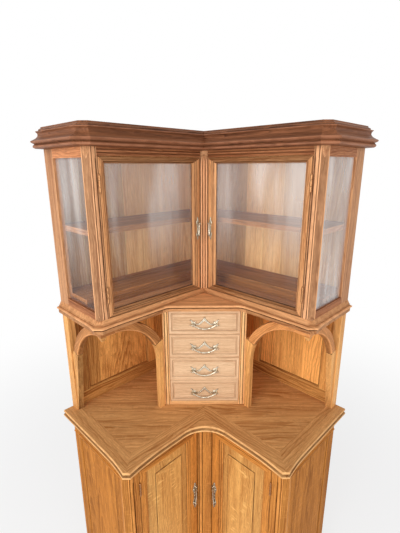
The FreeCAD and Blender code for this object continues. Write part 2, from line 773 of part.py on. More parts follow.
Door = namedtuple("Door", "us zs front stiles rails")
BASE_DOOR = Door(BASE_DOOR_U, (BASE_Z + DOOR_GAP, FRIEZE_Z - 3.0), BASE_W, BASE_STILES, BASE_RAILS)
CASE_DOOR_Z = (CASE_Z + DOOR_GAP, CORNICE_Z - CASE_FRIEZE_H - DOOR_GAP)
CASE_DOOR = Door(CASE_DOOR_U, CASE_DOOR_Z, CASE_W, CASE_STILES, CASE_RAILS)


def opening(door):
    """Rectangle inside the members of a door frame."""
    us = (door.us[0] + door.stiles[0], door.us[1] - door.stiles[1])
    zs = (door.zs[0] + door.rails[0], door.zs[1] - door.rails[1])
    return rect(us[0], us[1], zs[0], zs[1])


def door_frame(side, door, sticking):
    """Mitred frame; sticking rows are (share of the width, depth below the front)."""
    back = door.front - DOOR_THICK
    outer = rect(door.us[0], door.us[1], door.zs[0], door.zs[1])
    profile = [(0.0, back), (0.0, door.front)]
    profile += [(share, door.front - depth) for share, depth in sticking] + [(1.0, back)]
    return compound(mitred_frame(wing_put(side), outer, opening(door), profile))


def raised_panel(side, door):
    """Panel with a wide bevel and a raised field."""
    hole = opening(door)
    (a0, z0), (a1, _), (_, z1), _ = hole
    field = rect(a0 + BASE_BEVELS[0], a1 - BASE_BEVELS[1], z0 + BASE_BEVEL_H, z1 - BASE_BEVEL_H)
    front = door.front
    steps = [(hole, front - 16.0), (hole, front - 10.0), (inset(field, -1.5), front - 5.0)]
    steps += [(inset(field, -1.0), front - 3.2), (field, front - 3.0)]
    return terrace(wing_put(side), steps)


def door_glass(side, door):
    """Pane in a door frame."""
    hole = opening(door)
    return terrace(wing_put(side), [(hole, door.front - 17.0), (hole, door.front - 13.0)])


def axis_point(side, door, z):
    """Centre of the hinge pin at a height."""
    return vec(side, door.us[1] + DOOR_GAP / 2.0, door.front + HINGE_OUT, z)


def hinge_heights(door):
    """Middle heights of the two hinges of a door."""
    return (door.zs[0] + HINGE_INSET, door.zs[1] - HINGE_INSET)


def up_cylinder(radius, base, height):
    """Upright cylinder."""
    return Part.makeCylinder(radius, height, base, FreeCAD.Vector(0, 0, 1))


def door_knuckle(side, door, z):
    """Middle knuckle and leaf of a hinge, bored for the pin."""
    axis_u = door.us[1] + DOOR_GAP / 2.0
    low, high = z - HINGE_HALF, z + HINGE_HALF
    leaf_u = (door.us[1], door.us[1] + HINGE_LEAF)
    depth = (door.front - HINGE_LEAF_DEPTH, door.front + HINGE_OUT)
    body = wing_box(side, leaf_u, depth, (low, high))
    base = vec(side, axis_u, door.front + HINGE_OUT, low)
    body = body.fuse(up_cylinder(HINGE_R, base, high - low))
    drill = vec(side, axis_u, door.front + HINGE_OUT, low - 1.0)
    return body.cut(up_cylinder(PIN_R + BORE_FIT, drill, high - low + 2.0))


def post_knuckles(side, door, z):
    """Outer knuckles, leaf ends and pin of a hinge, fixed to the post."""
    axis_u = door.us[1] + DOOR_GAP / 2.0
    post_u = door.us[1] + DOOR_GAP
    depth = (door.front - HINGE_LEAF_DEPTH, door.front + HINGE_OUT)
    reach = HINGE_HALF + HINGE_SLIT
    body = None
    for low in (z - reach - HINGE_KNUCKLE, z + reach):
        zs = (low, low + HINGE_KNUCKLE)
        piece = wing_box(side, (post_u - HINGE_LEAF, post_u), depth, zs)
        base = vec(side, axis_u, door.front + HINGE_OUT, low)
        piece = piece.fuse(up_cylinder(HINGE_R, base, HINGE_KNUCKLE))
        body = body.fuse(piece) if body else piece
    base = vec(side, axis_u, door.front + HINGE_OUT, z - reach - HINGE_KNUCKLE)
    return body.fuse(up_cylinder(PIN_R, base, 2.0 * (reach + HINGE_KNUCKLE)))


def hinge_pins():
    """Fixed hinge halves of all four doors."""
    solids = []
    for _, side in SIDES:
        for door in (BASE_DOOR, CASE_DOOR):
            solids += [post_knuckles(side, door, z) for z in hinge_heights(door)]
    return compound(solids)


Pull = namedtuple("Pull", "u z width height eye drop_len drop_width")
BASE_PULL_Z = COUNTER_TOP - BASE_PULL_BELOW
CASE_PULL_Z = CASE_Z + CASE_PULL_ABOVE
BASE_PULL = Pull(BASE_DOOR_U[0] + BASE_PULL_IN, BASE_PULL_Z, 28.0, 138.0, 30.0, 78.0, 15.0)
CASE_PULL = Pull(CASE_DOOR_U[0] + CASE_PULL_IN, CASE_PULL_Z, 15.0, 90.0, 20.0, 50.0, 9.0)
PLATE_SHAPE = ((0.12, 0.50), (0.42, 0.46), (0.30, 0.41), (0.62, 0.37), (0.95, 0.31), (1.00, 0.24))
PLATE_SHAPE += ((0.70, 0.17), (0.48, 0.08), (0.42, -0.04), (0.55, -0.14), (0.85, -0.22))
PLATE_SHAPE += ((0.95, -0.29), (0.70, -0.36), (0.34, -0.41), (0.40, -0.46), (0.12, -0.50))
DROP_SHAPE = ((0.25, 0.04), (0.30, 0.14), (0.55, 0.24), (0.42, 0.34), (0.62, 0.50), (0.95, 0.70))
DROP_SHAPE += ((1.00, 0.80), (0.80, 0.90), (0.38, 0.97), (0.10, 1.00))


def outline_both(half_rows, width, put):
    """Closed outline from half-width rows, mirrored about the middle."""
    right = [put(share * width / 2.0, rise) for share, rise in half_rows]
    left = [put(-share * width / 2.0, rise) for share, rise in reversed(half_rows)]
    return right + left


def along(side):
    """Direction along the wall."""
    return FreeCAD.Vector(side / ROOT2, -1.0 / ROOT2, 0.0)


def bar_along(side, u0, u1, w, z, radius):
    """Cylinder that runs along the wall."""
    return Part.makeCylinder(radius, u1 - u0, vec(side, u0, w, z), along(side))


def pull_plate(side, door, pull):
    """Shaped plate with two lugs and the pin that carries the drop."""
    rings = []
    for w in (door.front, door.front + PLATE_THICK):
        rings.append(outline_both(PLATE_SHAPE, pull.width,
                                  lambda a, rise: vec(side, pull.u + a, w, pull.z + rise * pull.height)))
    body = ring_solid(rings)
    eye_z = pull.z + pull.eye
    eye_w = door.front + EYE_OUT
    inner = EYE_HALF + LUG_GAP
    outer = inner + LUG_THICK
    for span in ((-outer, -inner), (inner, outer)):
        us = (pull.u + span[0], pull.u + span[1])
        body = body.fuse(wing_box(side, us, (door.front, eye_w + EYE_R), (eye_z - EYE_R, eye_z + EYE_R)))
    return body.fuse(bar_along(side, pull.u - outer, pull.u + outer, eye_w, eye_z, PIN_R))


def pull_drop(side, door, pull):
    """Hanging drop with its bored eye."""
    eye_z = pull.z + pull.eye
    eye_w = door.front + EYE_OUT
    rings = []
    for w in (eye_w - DROP_THICK / 2.0, eye_w + DROP_THICK / 2.0):
        rings.append(outline_both(DROP_SHAPE, pull.drop_width,
                                  lambda a, fall: vec(side, pull.u + a, w, eye_z - fall * pull.drop_len)))
    body = ring_solid(rings)
    body = body.fuse(bar_along(side, pull.u - EYE_HALF, pull.u + EYE_HALF, eye_w, eye_z, EYE_R))
    reach = EYE_HALF + 1.0
    return body.cut(bar_along(side, pull.u - reach, pull.u + reach, eye_w, eye_z, PIN_R + BORE_FIT))


def door_brass(side, door, pull):
    """Pull plate and moving hinge knuckles of a door."""
    solids = [pull_plate(side, door, pull)]
    solids += [door_knuckle(side, door, z) for z in hinge_heights(door)]
    return compound(solids)


def drawer_front(index):
    """Moulded front of a drawer."""
    x = BLOCK_INNER_X - DRAWER_FIT
    z = drawer_z(index)
    full = rect(-x, x, z, z + DRAWER_H)
    back = BLOCK_D - DRAWER_FRONT
    rows = ((0.0, 17.0), (2.5, 20.0), (8.0, 20.0), (10.5, 18.0), (12.0, 15.5), (14.0, 15.5))
    rows += ((15.5, 18.5), (17.0, 19.5))
    steps = [(full, back)] + [(inset(full, by), back + lift) for by, lift in rows]
    return terrace(mid, steps)


def drawer_box(index):
    """Sides, back and floor behind a drawer front."""
    x = BLOCK_INNER_X - DRAWER_BOX_FIT
    z = drawer_z(index)
    front = BLOCK_D - DRAWER_FRONT
    back = front - DRAWER_BOX_L
    top = z + DRAWER_BOX_H
    wall = DRAWER_WALL
    floor_z = z + DRAWER_FLOOR
    solids = [mid_box((-x, x), (back, front), (z, floor_z))]
    solids.append(mid_box((-x, x), (back, back + wall), (floor_z, top)))
    for xs in ((-x, wall - x), (x - wall, x)):
        solids.append(mid_box(xs, (back + wall, front), (floor_z, top)))
    return compound(solids)


def bail_z(index):
    """Height of the bail's axis."""
    return drawer_z(index) + DRAWER_H / 2.0 - BAIL_DROP


FIELD_D = BLOCK_D - 0.5
ROOF_SHAPE = ((-36.0, 3.0), (-34.0, 0.0), (-6.0, 17.0), (0.0, 20.0), (6.0, 17.0), (34.0, 0.0))
ROOF_SHAPE += ((36.0, 3.0), (8.0, 21.0), (0.0, 27.0), (-8.0, 21.0))
LEAF_SHAPE = ((38.0, 2.0), (46.0, -8.0), (52.0, -2.0), (50.0, 8.0), (56.0, 19.0), (46.0, 13.0))


def across(x0, x1, d, z, radius):
    """Cylinder that runs across the front."""
    return Part.makeCylinder(radius, x1 - x0, mid(x0, d, z), FreeCAD.Vector(1, 0, 0))


def front_plate(shape, sign, z):
    """Flat brass shape on a drawer front."""
    rings = []
    for d in (FIELD_D, FIELD_D + PLATE_THICK):
        rings.append([mid(sign * x, d, z + rise) for x, rise in shape])
    return ring_solid(rings)


def drawer_pull(index):
    """Rosettes, leaf tips, roof strap, posts and pins that carry the bail."""
    z = bail_z(index)
    out = FreeCAD.Vector(0, -1, 0)
    body = front_plate(ROOF_SHAPE, 1.0, z)
    inner = BAIL_REACH - BAIL_EYE_LEN / 2.0
    for sign in (-1.0, 1.0):
        post_x = BAIL_REACH + BAIL_EYE_LEN / 2.0 + LUG_GAP + BAIL_POST_R
        disc = Part.makeCylinder(ROSETTE_R, PLATE_THICK, mid(sign * BAIL_REACH, FIELD_D, z), out)
        post_len = BAIL_OUT + BAIL_POST_R
        post = Part.makeCylinder(BAIL_POST_R, post_len, mid(sign * post_x, FIELD_D, z), out)
        ends = sorted((sign * post_x, sign * inner))
        pin = across(ends[0], ends[1], FIELD_D + BAIL_OUT, z, PIN_R)
        body = body.fuse(disc).fuse(front_plate(LEAF_SHAPE, sign, z)).fuse(post).fuse(pin)
    return body


def drawer_bail(index):
    """Sagging handle with a bored eye at each end."""
    z = bail_z(index)
    d = FIELD_D + BAIL_OUT
    radius = (BAIL_REACH ** 2 + BAIL_SAG ** 2) / (2.0 * BAIL_SAG)
    centre = mid(0.0, d, z - BAIL_SAG + radius)
    half = math.degrees(math.asin(BAIL_REACH / radius))
    start = mid(-BAIL_REACH, d, z)
    tangent = (centre - start).cross(FreeCAD.Vector(0, 1, 0))
    disc = Part.Face(Part.Wire(Part.makeCircle(BAIL_R, start, tangent)))
    body = disc.revolve(centre, FreeCAD.Vector(0, -1, 0), 2.0 * half)
    for sign in (-1.0, 1.0):
        ends = sorted((sign * (BAIL_REACH - BAIL_EYE_LEN / 2.0), sign * (BAIL_REACH + BAIL_EYE_LEN / 2.0)))
        body = body.fuse(across(ends[0], ends[1], d, z, EYE_R))
    for sign in (-1.0, 1.0):
        ends = sorted((sign * (BAIL_REACH - BAIL_EYE_LEN), sign * (BAIL_REACH + BAIL_EYE_LEN)))
        body = body.cut(across(ends[0], ends[1], d, z, PIN_R + BORE_FIT))
    return body


BASE_STICKING = ((0.72, 0.0), (0.80, 2.0), (0.90, 3.0), (1.0, 7.0))
CASE_STICKING = ((0.48, 0.0), (0.58, 1.8), (0.76, 3.2), (1.0, 9.0))


def carcass_parts():
    """All fixed nodes."""
    parts = {
        "plinth": plinth(),
        "base_bottom": base_bottom(),
        "base_sides": base_sides(),
        "base_corner_posts": base_corner_posts(),
        "base_centre_post": base_centre_post(),
        "base_frieze": compound(base_frieze().Solids + base_astragal().Solids),
        "counter_border": counter_border(),
        "counter_field": counter_field(),
        "drawer_case": drawer_case(),
        "drawer_dividers": drawer_dividers(),
        "block_posts": block_posts(),
        "outer_posts": outer_posts(),
        "niche_backs": niche_backs(),
        "case_base": case_base(),
        "case_floor": case_floor(),
        "case_front_posts": case_front_posts(),
        "case_centre_post": case_centre_post(),
        "case_back_posts": case_back_posts(),
        "case_rails": compound(case_rails().Solids + case_frieze().Solids),
        "side_glass": side_glass(),
        "back_boards": back_boards(),
        "shelf": shelf(),
        "display_step": display_step(),
        "top_board": top_board(),
        "cornice": cornice(),
        "hinge_pins": hinge_pins(),
    }
    for name, side in SIDES:
        parts["arch_" + name] = arch(side)
    return parts


def door_parts():
    """Frames, panels, brassware and drops of the four doors."""
    parts = {}
    for name, side in SIDES:
        base, case = "base_door_" + name, "case_door_" + name
        parts[base + "_frame"] = door_frame(side, BASE_DOOR, BASE_STICKING)
        parts[base + "_panel"] = raised_panel(side, BASE_DOOR)
        parts[base + "_brass"] = door_brass(side, BASE_DOOR, BASE_PULL)
        parts[base + "_drop"] = pull_drop(side, BASE_DOOR, BASE_PULL)
        parts[case + "_frame"] = door_frame(side, CASE_DOOR, CASE_STICKING)
        parts[case + "_glass"] = door_glass(side, CASE_DOOR)
        parts[case + "_brass"] = door_brass(side, CASE_DOOR, CASE_PULL)
        parts[case + "_drop"] = pull_drop(side, CASE_DOOR, CASE_PULL)
    return parts


def drawer_parts():
    """Front, box, pull and bail of every drawer, counted from the top."""
    parts = {}
    for index in range(DRAWERS):
        name = "drawer_%d" % (index + 1)
        parts[name + "_front"] = drawer_front(index)
        parts[name + "_box"] = drawer_box(index)
        parts[name + "_pull"] = drawer_pull(index)
        parts[name + "_bail"] = drawer_bail(index)
    return parts


def main():
    """Write one file per node."""
    os.makedirs("parts", exist_ok=True)
    parts = carcass_parts()
    parts.update(door_parts())
    parts.update(drawer_parts())
    for name, shape in parts.items():
        flat = compound(shape.Solids)
        flat.exportStep("parts/%s.step" % name)


main()
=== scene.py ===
"""Look of the corner cabinet: boards with grain, mouldings, glass, brassware, studio and camera."""
import logging
import math
import random
from dataclasses import dataclass, field, replace
from enum import Enum
from functools import partial
from typing import Callable, ClassVar, Sequence

import bmesh
import bpy
from mathutils import Matrix, Vector


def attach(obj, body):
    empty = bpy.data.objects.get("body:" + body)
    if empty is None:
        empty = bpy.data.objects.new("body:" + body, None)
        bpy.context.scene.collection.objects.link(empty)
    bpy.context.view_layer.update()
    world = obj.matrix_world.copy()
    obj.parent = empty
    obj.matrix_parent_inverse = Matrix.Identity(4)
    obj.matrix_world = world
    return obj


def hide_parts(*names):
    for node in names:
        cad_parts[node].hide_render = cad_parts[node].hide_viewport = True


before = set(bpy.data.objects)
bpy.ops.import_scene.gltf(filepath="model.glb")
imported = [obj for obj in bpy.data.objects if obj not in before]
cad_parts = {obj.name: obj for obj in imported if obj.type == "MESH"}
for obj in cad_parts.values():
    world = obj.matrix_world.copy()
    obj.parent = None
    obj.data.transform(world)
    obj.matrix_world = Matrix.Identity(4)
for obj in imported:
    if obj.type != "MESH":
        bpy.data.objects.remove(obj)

LOG = logging.getLogger("corner_cabinet")
MM = 0.001
ROOT2 = math.sqrt(2.0)
UP = Vector((0.0, 0.0, 1.0))
Pair = tuple[float, float]
Outline = Sequence[Pair]
Profile = Sequence[Pair]
Shades = Sequence[float]
Zones = Sequence[tuple[float, float, float]]
Placing = Callable[[float, float, float], Vector]


class Side(Enum):
    """The two mirrored wings."""

    LEFT = -1
    RIGHT = 1


class Cut(Enum):
    """How a board was sawn from the log."""

    PLAIN = "plain"
    RIFT = "rift"


@dataclass(frozen=True)
class Plan:
    """Wing coordinates: u along the wall, w out from it, both in millimetres."""

    y_shift: float = 445.116

    def vec(self, side: Side, u: float, w: float, z: float) -> Vector:
        """Point of a wing.

        Args:
            side: Wing.
            u: Distance along the wall from the room corner.
            w: Distance out from the wall.
            z: Height above the floor.

        Returns:
            The point in metres.
        """
        x = side.value * (u - w) / ROOT2
        return Vector((x, self.y_shift - (u + w) / ROOT2, z)) * MM

    def ring(self, side: Side, plan: Outline, z: float) -> list[Vector]:
        """Plan points of a wing at one height."""
        return [self.vec(side, u, w, z) for u, w in plan]

    def end_vec(self, side: Side, w: float, u: float, z: float) -> Vector:
        """Point of a wing's end, where w runs across the board and u is its depth."""
        return self.vec(side, u, w, z)

    def mid(self, x: float, d: float, z: float) -> Vector:
        """Point of the frontal block, d in front of the room corner."""
        return Vector((x, self.y_shift - d, z)) * MM

    def mirrored(self, sign: float, x: float, d: float, z: float) -> Vector:
        """Point of the left or right half of the frontal block."""
        return self.mid(sign * x, d, z)

    def along(self, side: Side) -> Vector:
        """Direction along the wall."""
        return Vector((side.value / ROOT2, -1.0 / ROOT2, 0.0))

    def out(self, side: Side) -> Vector:
        """Direction out from the wall."""
        return Vector((-side.value / ROOT2, -1.0 / ROOT2, 0.0))


PLAN = Plan()
ACROSS = Vector((1.0, 0.0, 0.0))
FRONT = Vector((0.0, -1.0, 0.0))


@dataclass
class Timber:
    """Grain frame of one board: direction, face, place of the heart and own tone."""

    along: Vector
    face: Vector
    heart: Pair
    shift: float
    tone: float
    centre: Vector | None = None
    slope: float = 0.045

    def coords(self, p: Vector, centre: Vector) -> Vector:
        """Grain coordinates of a point.

        Args:
            p: Point in metres.
            centre: Middle of the board in metres.

        Returns:
            Distance along the grain and the two distances from the heart.
        """
        across = self.face.cross(self.along)
        q = p - (self.centre or centre)
        return Vector((q.dot(self.along) + self.shift, q.dot(across) + self.heart[0],
                       q.dot(self.face) + self.heart[1] + self.slope * q.dot(self.along)))


@dataclass
class Sawmill:
    """Hands out boards with their own figure and tone, the same ones on each run."""

    seed: int = 7
    spread: float = 0.6
    even_share: float = 0.2
    dice: random.Random = field(init=False)

    def __post_init__(self) -> None:
        """Seed the choices."""
        self.dice = random.Random(self.seed)

    def cut(self, along: Vector, face: Vector, how: Cut = Cut.RIFT, tone: float = 0.0,
            even: bool = False) -> Timber:
        """Saw one board.

        Args:
            along: Grain direction.
            face: Normal of the show face.
            how: Plain sawn with arches or rift sawn with straight grain.
            tone: Lighter above zero, darker below.
            even: Keep close to the given tone.

        Returns:
            The board's grain frame.
        """
        pick = self.dice
        if how is Cut.PLAIN:
            heart = (pick.uniform(-0.02, 0.02), pick.uniform(0.03, 0.05))
        else:
            heart = (pick.uniform(0.16, 0.30) * pick.choice((-1, 1)), pick.uniform(0.05, 0.12))
        share = self.even_share if even else 1.0
        own = tone + self.spread * pick.uniform(-0.5, 0.5) * share
        return Timber(along.normalized(), face.normalized(), heart, pick.uniform(-3.0, 3.0), own)


class Joinery:
    """Gathers the boards of one object into a mesh with grain, tone, wear with painted highlights, and
    grime with painted shade.
    """

    sharp_edge: ClassVar[float] = 0.85

    def __init__(self, name: str) -> None:
        """Start an empty object."""
        self.name = name
        self.verts: list[Vector] = []
        self.grain: list[Vector] = []
        self.faces: list[list[int]] = []
        self.tone: list[float] = []
        self.wear: list[float] = []
        self.grime: list[float] = []

    def add(self, rings: Sequence[Sequence[Vector]], timber: Timber, bevel: float = 0.8,
            grime: Shades = (), lines: Shades = (),
            keep: tuple[Vector, Vector] | None = None, segments: int = 2) -> None:
        """Add a solid through closed rings.

        Args:
            rings: Rings with the same number of points.
            timber: Grain frame.
            bevel: Rounding of sharp edges in millimetres.
            grime: Value of each step between two rings: grime with painted shade above zero, wear with
                painted highlight below.
            lines: The same along each edge of the rings.
            keep: Point and normal of a plane; only what lies on its normal's side stays.
            segments: Facets of the rounding.
        """
        bm = bmesh.new()
        dark = bm.faces.layers.float.new("dark")
        aged_and_lit = bm.faces.layers.float.new("aged_and_lit")
        rows = [[bm.verts.new(p) for p in ring] for ring in rings]
        count = len(rows[0])
        for step, (low, high) in enumerate(zip(rows, rows[1:])):
            for i in range(count):
                j = (i + 1) % count
                face = bm.faces.new((low[i], low[j], high[j], high[i]))
                # Above zero grime with painted shade, below zero wear with painted highlight.
                shade = grime[step] if step < len(grime) else 0.0
                shade += lines[i] if i < len(lines) else 0.0
                face[dark], face[aged_and_lit] = max(shade, 0.0), max(-shade, 0.0)
        bm.faces.new(list(reversed(rows[0])))
        bm.faces.new(rows[-1])
        if keep:
            cut = bmesh.ops.bisect_plane(bm, geom=bm.verts[:] + bm.edges[:] + bm.faces[:],
                                         dist=1e-7, plane_co=keep[0], plane_no=keep[1], clear_inner=True)
            rim = [e for e in cut["geom_cut"] if isinstance(e, bmesh.types.BMEdge)]
            bmesh.ops.contextual_create(bm, geom=rim)
        bmesh.ops.recalc_face_normals(bm, faces=bm.faces)
        if bevel > 0.0:
            sharp = [e for e in bm.edges
                     if len(e.link_faces) == 2 and e.calc_face_angle(0.0) > self.sharp_edge]
            made = bmesh.ops.bevel(bm, geom=sharp, offset=bevel * MM, segments=segments,
                                   profile=0.5, affect="EDGES", clamp_overlap=True)
            # Rounded arrises count as worn: wear together with a painted highlight along each arris.
            for face in made["faces"]:
                face[aged_and_lit] = 1.0
        self.take(bm, timber, dark, aged_and_lit)
        bm.free()

    def take(self, bm: bmesh.types.BMesh, timber: Timber, dark: object, aged_and_lit: object) -> None:
        """Copy a finished board into the object.

        Args:
            bm: The board.
            timber: Grain frame.
            dark: Face layer of the grime with painted shade.
            aged_and_lit: Face layer of the wear with painted highlights.
        """
        base = len(self.verts)
        bm.verts.index_update()
        low = Vector([min(v.co[i] for v in bm.verts) for i in range(3)])
        high = Vector([max(v.co[i] for v in bm.verts) for i in range(3)])
        centre = (low + high) / 2.0
        for v in bm.verts:
            self.verts.append(v.co.copy())
            self.grain.append(timber.coords(v.co, centre))
        for face in bm.faces:
            self.faces.append([base + v.index for v in face.verts])
            self.tone.append(timber.tone)
            self.wear.append(face[aged_and_lit])
            self.grime.append(face[dark])

    def finish(self, body: str, nodes: Sequence[str], slot: str, material: bpy.types.Material,
               sharp: float = 0.62) -> bpy.types.Object:
        """Make the object, put it in place of its nodes and dress it.

        Args:
            body: Body that it rides on.
            nodes: Nodes that it stands for.
            slot: Material slot of the record; not used.
            material: Finish.
            sharp: Angle in radians above which an edge stays crisp.

        Returns:
            The new object.
        """
        mesh = bpy.data.meshes.new(self.name)
        mesh.from_pydata([tuple(v) for v in self.verts], [], self.faces)
        grain = mesh.attributes.new("grain", "FLOAT_VECTOR", "POINT")
        grain.data.foreach_set("vector", [c for v in self.grain for c in v])
        for name, values in (("tone", self.tone), ("wear", self.wear), ("grime", self.grime)):
            layer = mesh.attributes.new(name, "FLOAT", "FACE")
            layer.data.foreach_set("value", values)
        mesh.polygons.foreach_set("use_smooth", [True] * len(self.faces))
        mesh.set_sharp_from_angle(angle=sharp)
        mesh.materials.append(material)
        obj = bpy.data.objects.new(self.name, mesh)
        bpy.context.scene.collection.objects.link(obj)
        weigh = obj.modifiers.new("even_normals", "WEIGHTED_NORMAL")
        weigh.keep_sharp = True
        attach(obj, body)
        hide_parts(*nodes)
        LOG.info("%s: %d faces", self.name, len(self.faces))
        return obj


def meet(a: tuple[float, float, float], b: tuple[float, float, float]) -> Pair:
    """Crossing point of two lines given as (nu, nw, distance)."""
    det = a[0] * b[1] - a[1] * b[0]
    return ((a[2] * b[1] - a[1] * b[2]) / det, (a[0] * b[2] - a[2] * b[0]) / det)


def grow(path: Outline, out: float) -> list[Pair]:
    """Offset an open outline; its ends slide on the wall line and on the V or end line.

    Args:
        path: Outline from the wall to the V.
        out: Distance outwards.

    Returns:
        The offset outline.
    """
    lines = [(0.0, 1.0, path[0][1])]
    for (u0, w0), (u1, w1) in zip(path, path[1:]):
        length = math.hypot(u1 - u0, w1 - w0)
        nu, nw = (w1 - w0) / length, (u0 - u1) / length
        lines.append((nu, nw, nu * u0 + nw * w0 + out))
    u_end, w_end = path[-1]
    on_mirror = abs(u_end - w_end) < 1e-6
    lines.append((1.0, -1.0, 0.0) if on_mirror else (1.0, 0.0, u_end))
    return [meet(a, b) for a, b in zip(lines, lines[1:])]


def divide(ends: Pair, count: int) -> list[float]:
    """Both ends and the places between them that make equal parts."""
    return [ends[0] + (ends[1] - ends[0]) * i / count for i in range(count + 1)]


def raised(rows: Profile, level: float) -> list[Pair]:
    """Profile of (height, projection) moved up to a level."""
    return [(level + z, out) for z, out in rows]


def zone_shades(rows: Profile, zones: Zones) -> list[float]:
    """Shade of each profile row from zones of (low, high, shade); the first that fits holds."""
    return [next((shade for low, high, shade in zones if low <= z < high), 0.0) for z, _ in rows]


def flared_corner(side_u: float, front_w: float, flare: Pair, lengths: Pair, facet: float) -> list[Pair]:
    """Outline with a flared front corner and a frontal facet.

    Args:
        side_u: Side edge.
        front_w: Front edge.
        flare: How far side and front swing out at the corner.
        lengths: Length of both flares.
        facet: Width of the facet.

    Returns:
        The outline from the wall to the V.
    """
    leg = facet / ROOT2
    tip_u, tip_w = side_u + flare[0], front_w + flare[1]
    facet_w, facet_u = tip_w - leg, tip_u - leg
    shares, bend = [i / 8.0 for i in range(1, 8)], 2.2
    points = [(side_u, 0.0), (side_u, facet_w - lengths[0])]
    points += [(side_u + flare[0] * s ** bend, facet_w - lengths[0] * (1.0 - s)) for s in shares]
    points += [(tip_u, facet_w), (facet_u, tip_w)]
    points += [(facet_u - lengths[1] * (1.0 - s), front_w + flare[1] * s ** bend) for s in reversed(shares)]
    return points + [(facet_u - lengths[1], front_w), (front_w, front_w)]


POST_FACET = 25.0
POST_LEG = POST_FACET / ROOT2


def facet_corner(side_u: float, front_w: float, inner_u: float | None = None) -> list[Pair]:
    """Outline with the plain facet of the posts, ending at the V or at inner_u."""
    end = (inner_u, front_w) if inner_u else (front_w, front_w)
    return [(side_u, 0.0), (side_u, front_w - POST_LEG), (side_u - POST_LEG, front_w), end]


def smooth_profile(rows: Profile, cuts: int = 3) -> list[Pair]:
    """Round a moulding profile by cutting its corners.

    Args:
        rows: Profile points.
        cuts: Points put between two rows.

    Returns:
        The denser profile.
    """
    dense, pull = [rows[0]], 0.35
    for i in range(len(rows) - 1):
        p0 = rows[max(i - 1, 0)]
        p1, p2 = rows[i], rows[i + 1]
        p3 = rows[min(i + 2, len(rows) - 1)]
        for k in range(1, cuts + 1):
            t = k / cuts
            point = []
            for a, b, c, d in zip(p0, p1, p2, p3):
                m1, m2 = (c - a) * pull, (d - b) * pull
                h = (2 * t ** 3 - 3 * t ** 2 + 1) * b + (t ** 3 - 2 * t ** 2 + t) * m1
                point.append(h + (-2 * t ** 3 + 3 * t ** 2) * c + (t ** 3 - t ** 2) * m2)
            dense.append((point[0], point[1]))
    return dense


def beaded_face(centre: float, radius: float, plane: float, steps: int = 8) -> list[Pair]:
    """Face points of a bead between two grooves, in rising order along the face."""
    groove, ease, low = 3.0, 0.4, 0.5
    edge, deep = radius + groove, plane - groove
    points = [(centre - edge, plane), (centre - edge + ease, deep), (centre - radius, deep)]
    for i in range(steps + 1):
        angle = math.pi * (1.0 - i / steps)
        lift = radius * math.sin(angle) * low
        points.append((centre + radius * math.cos(angle), deep + lift + ease))
    return points + [(centre + radius, deep), (centre + edge - ease, deep), (centre + edge, plane)]


@dataclass
class Carpenter:
    """Shared ways of placing boards on the wings."""

    mill: Sawmill
    # Length in metres up to which a strip is of the same board as the one before
    shortest: ClassVar[float] = 0.05

    def bands(self, work: Joinery, side: Side, path: Outline, depth: float,
              profile: Profile, grime: Shades = (), tone: float = 0.0) -> None:
        """Add mitred strips along every edge of an outline.

        Args:
            work: Object.
            side: Wing.
            path: Outline.
            depth: Width behind the outline.
            profile: Rows of (height, projection).
            grime: Darkness per row, grime with painted shade.
            tone: Tone of the strips.
        """
        inner = grow(path, -depth)
        outers = [(z, grow(path, out)) for z, out in profile]
        board = self.mill.cut(PLAN.along(side), UP, tone=tone)
        for i in range(len(path) - 1):
            run = PLAN.vec(side, *path[i + 1], 0.0) - PLAN.vec(side, *path[i], 0.0)
            if run.length > self.shortest:
                board = self.mill.cut(run, UP, tone=tone)
            rings = [PLAN.ring(side, (o[i], o[i + 1], inner[i + 1], inner[i]), z) for z, o in outers]
            work.add(rings, board, 0.0, grime)

    def slab(self, work: Joinery, side: Side, path: Outline, profile: Profile,
             timber: Timber, grime: Shades = ()) -> None:
        """Add a board from the room corner to a moulded outline."""
        rings = [PLAN.ring(side, [(0.0, 0.0)] + grow(path, out), z) for z, out in profile]
        work.add(rings, timber, 0.0, grime)

    def wing_box(self, work: Joinery, side: Side, us: Pair, ws: Pair, zs: Pair, timber: Timber,
                 bevel: float = 0.8) -> None:
        """Add a box aligned with a wall."""
        self.prism(work, side, rect(*us, *ws), zs, timber, bevel)

    def prism(self, work: Joinery, side: Side, plan: Outline, zs: Pair, timber: Timber,
              bevel: float = 0.8) -> None:
        """Add an upright prism over a plan polygon of a wing."""
        work.add([PLAN.ring(side, plan, z) for z in zs], timber, bevel)

    def mid_box(self, work: Joinery, xs: Pair, ds: Pair, zs: Pair, timber: Timber,
                bevel: float = 0.8) -> None:
        """Add a box of the frontal block."""
        work.add([[PLAN.mid(x, d, z) for x, d in rect(*xs, *ds)] for z in zs], timber, bevel)

    def frame(self, work: Joinery, put: Placing, outer: Outline, inner: Outline,
              profile: Profile, timbers: Sequence[Timber], grime: Shades = ()) -> None:
        """Add four mitred members.

        Args:
            work: Object.
            put: Placing function of (across, depth, height).
            outer: Outer rectangle.
            inner: Inner rectangle.
            profile: Rows of (share of the width, depth).
            timbers: Grain frames of the low, far, high and near member.
            grime: Darkness of each profile edge, grime with painted shade.
        """
        ends = []
        for (a0, z0), (a1, z1) in zip(outer, inner):
            ends.append([put(a0 + t * (a1 - a0), d, z0 + t * (z1 - z0)) for t, d in profile])
        for i, timber in enumerate(timbers):
            work.add([ends[i], ends[(i + 1) % 4]], timber, 0.5, lines=grime, segments=1)


def rect(a0: float, a1: float, z0: float, z1: float) -> list[Pair]:
    """Corner list of a rectangle."""
    return [(a0, z0), (a1, z0), (a1, z1), (a0, z1)]


def inset(corners: Outline, by: float) -> list[Pair]:
    """Rectangle made smaller by the same amount on all sides."""
    (a0, z0), (a1, _), (_, z1), _ = corners
    return rect(a0 + by, a1 - by, z0 + by, z1 - by)


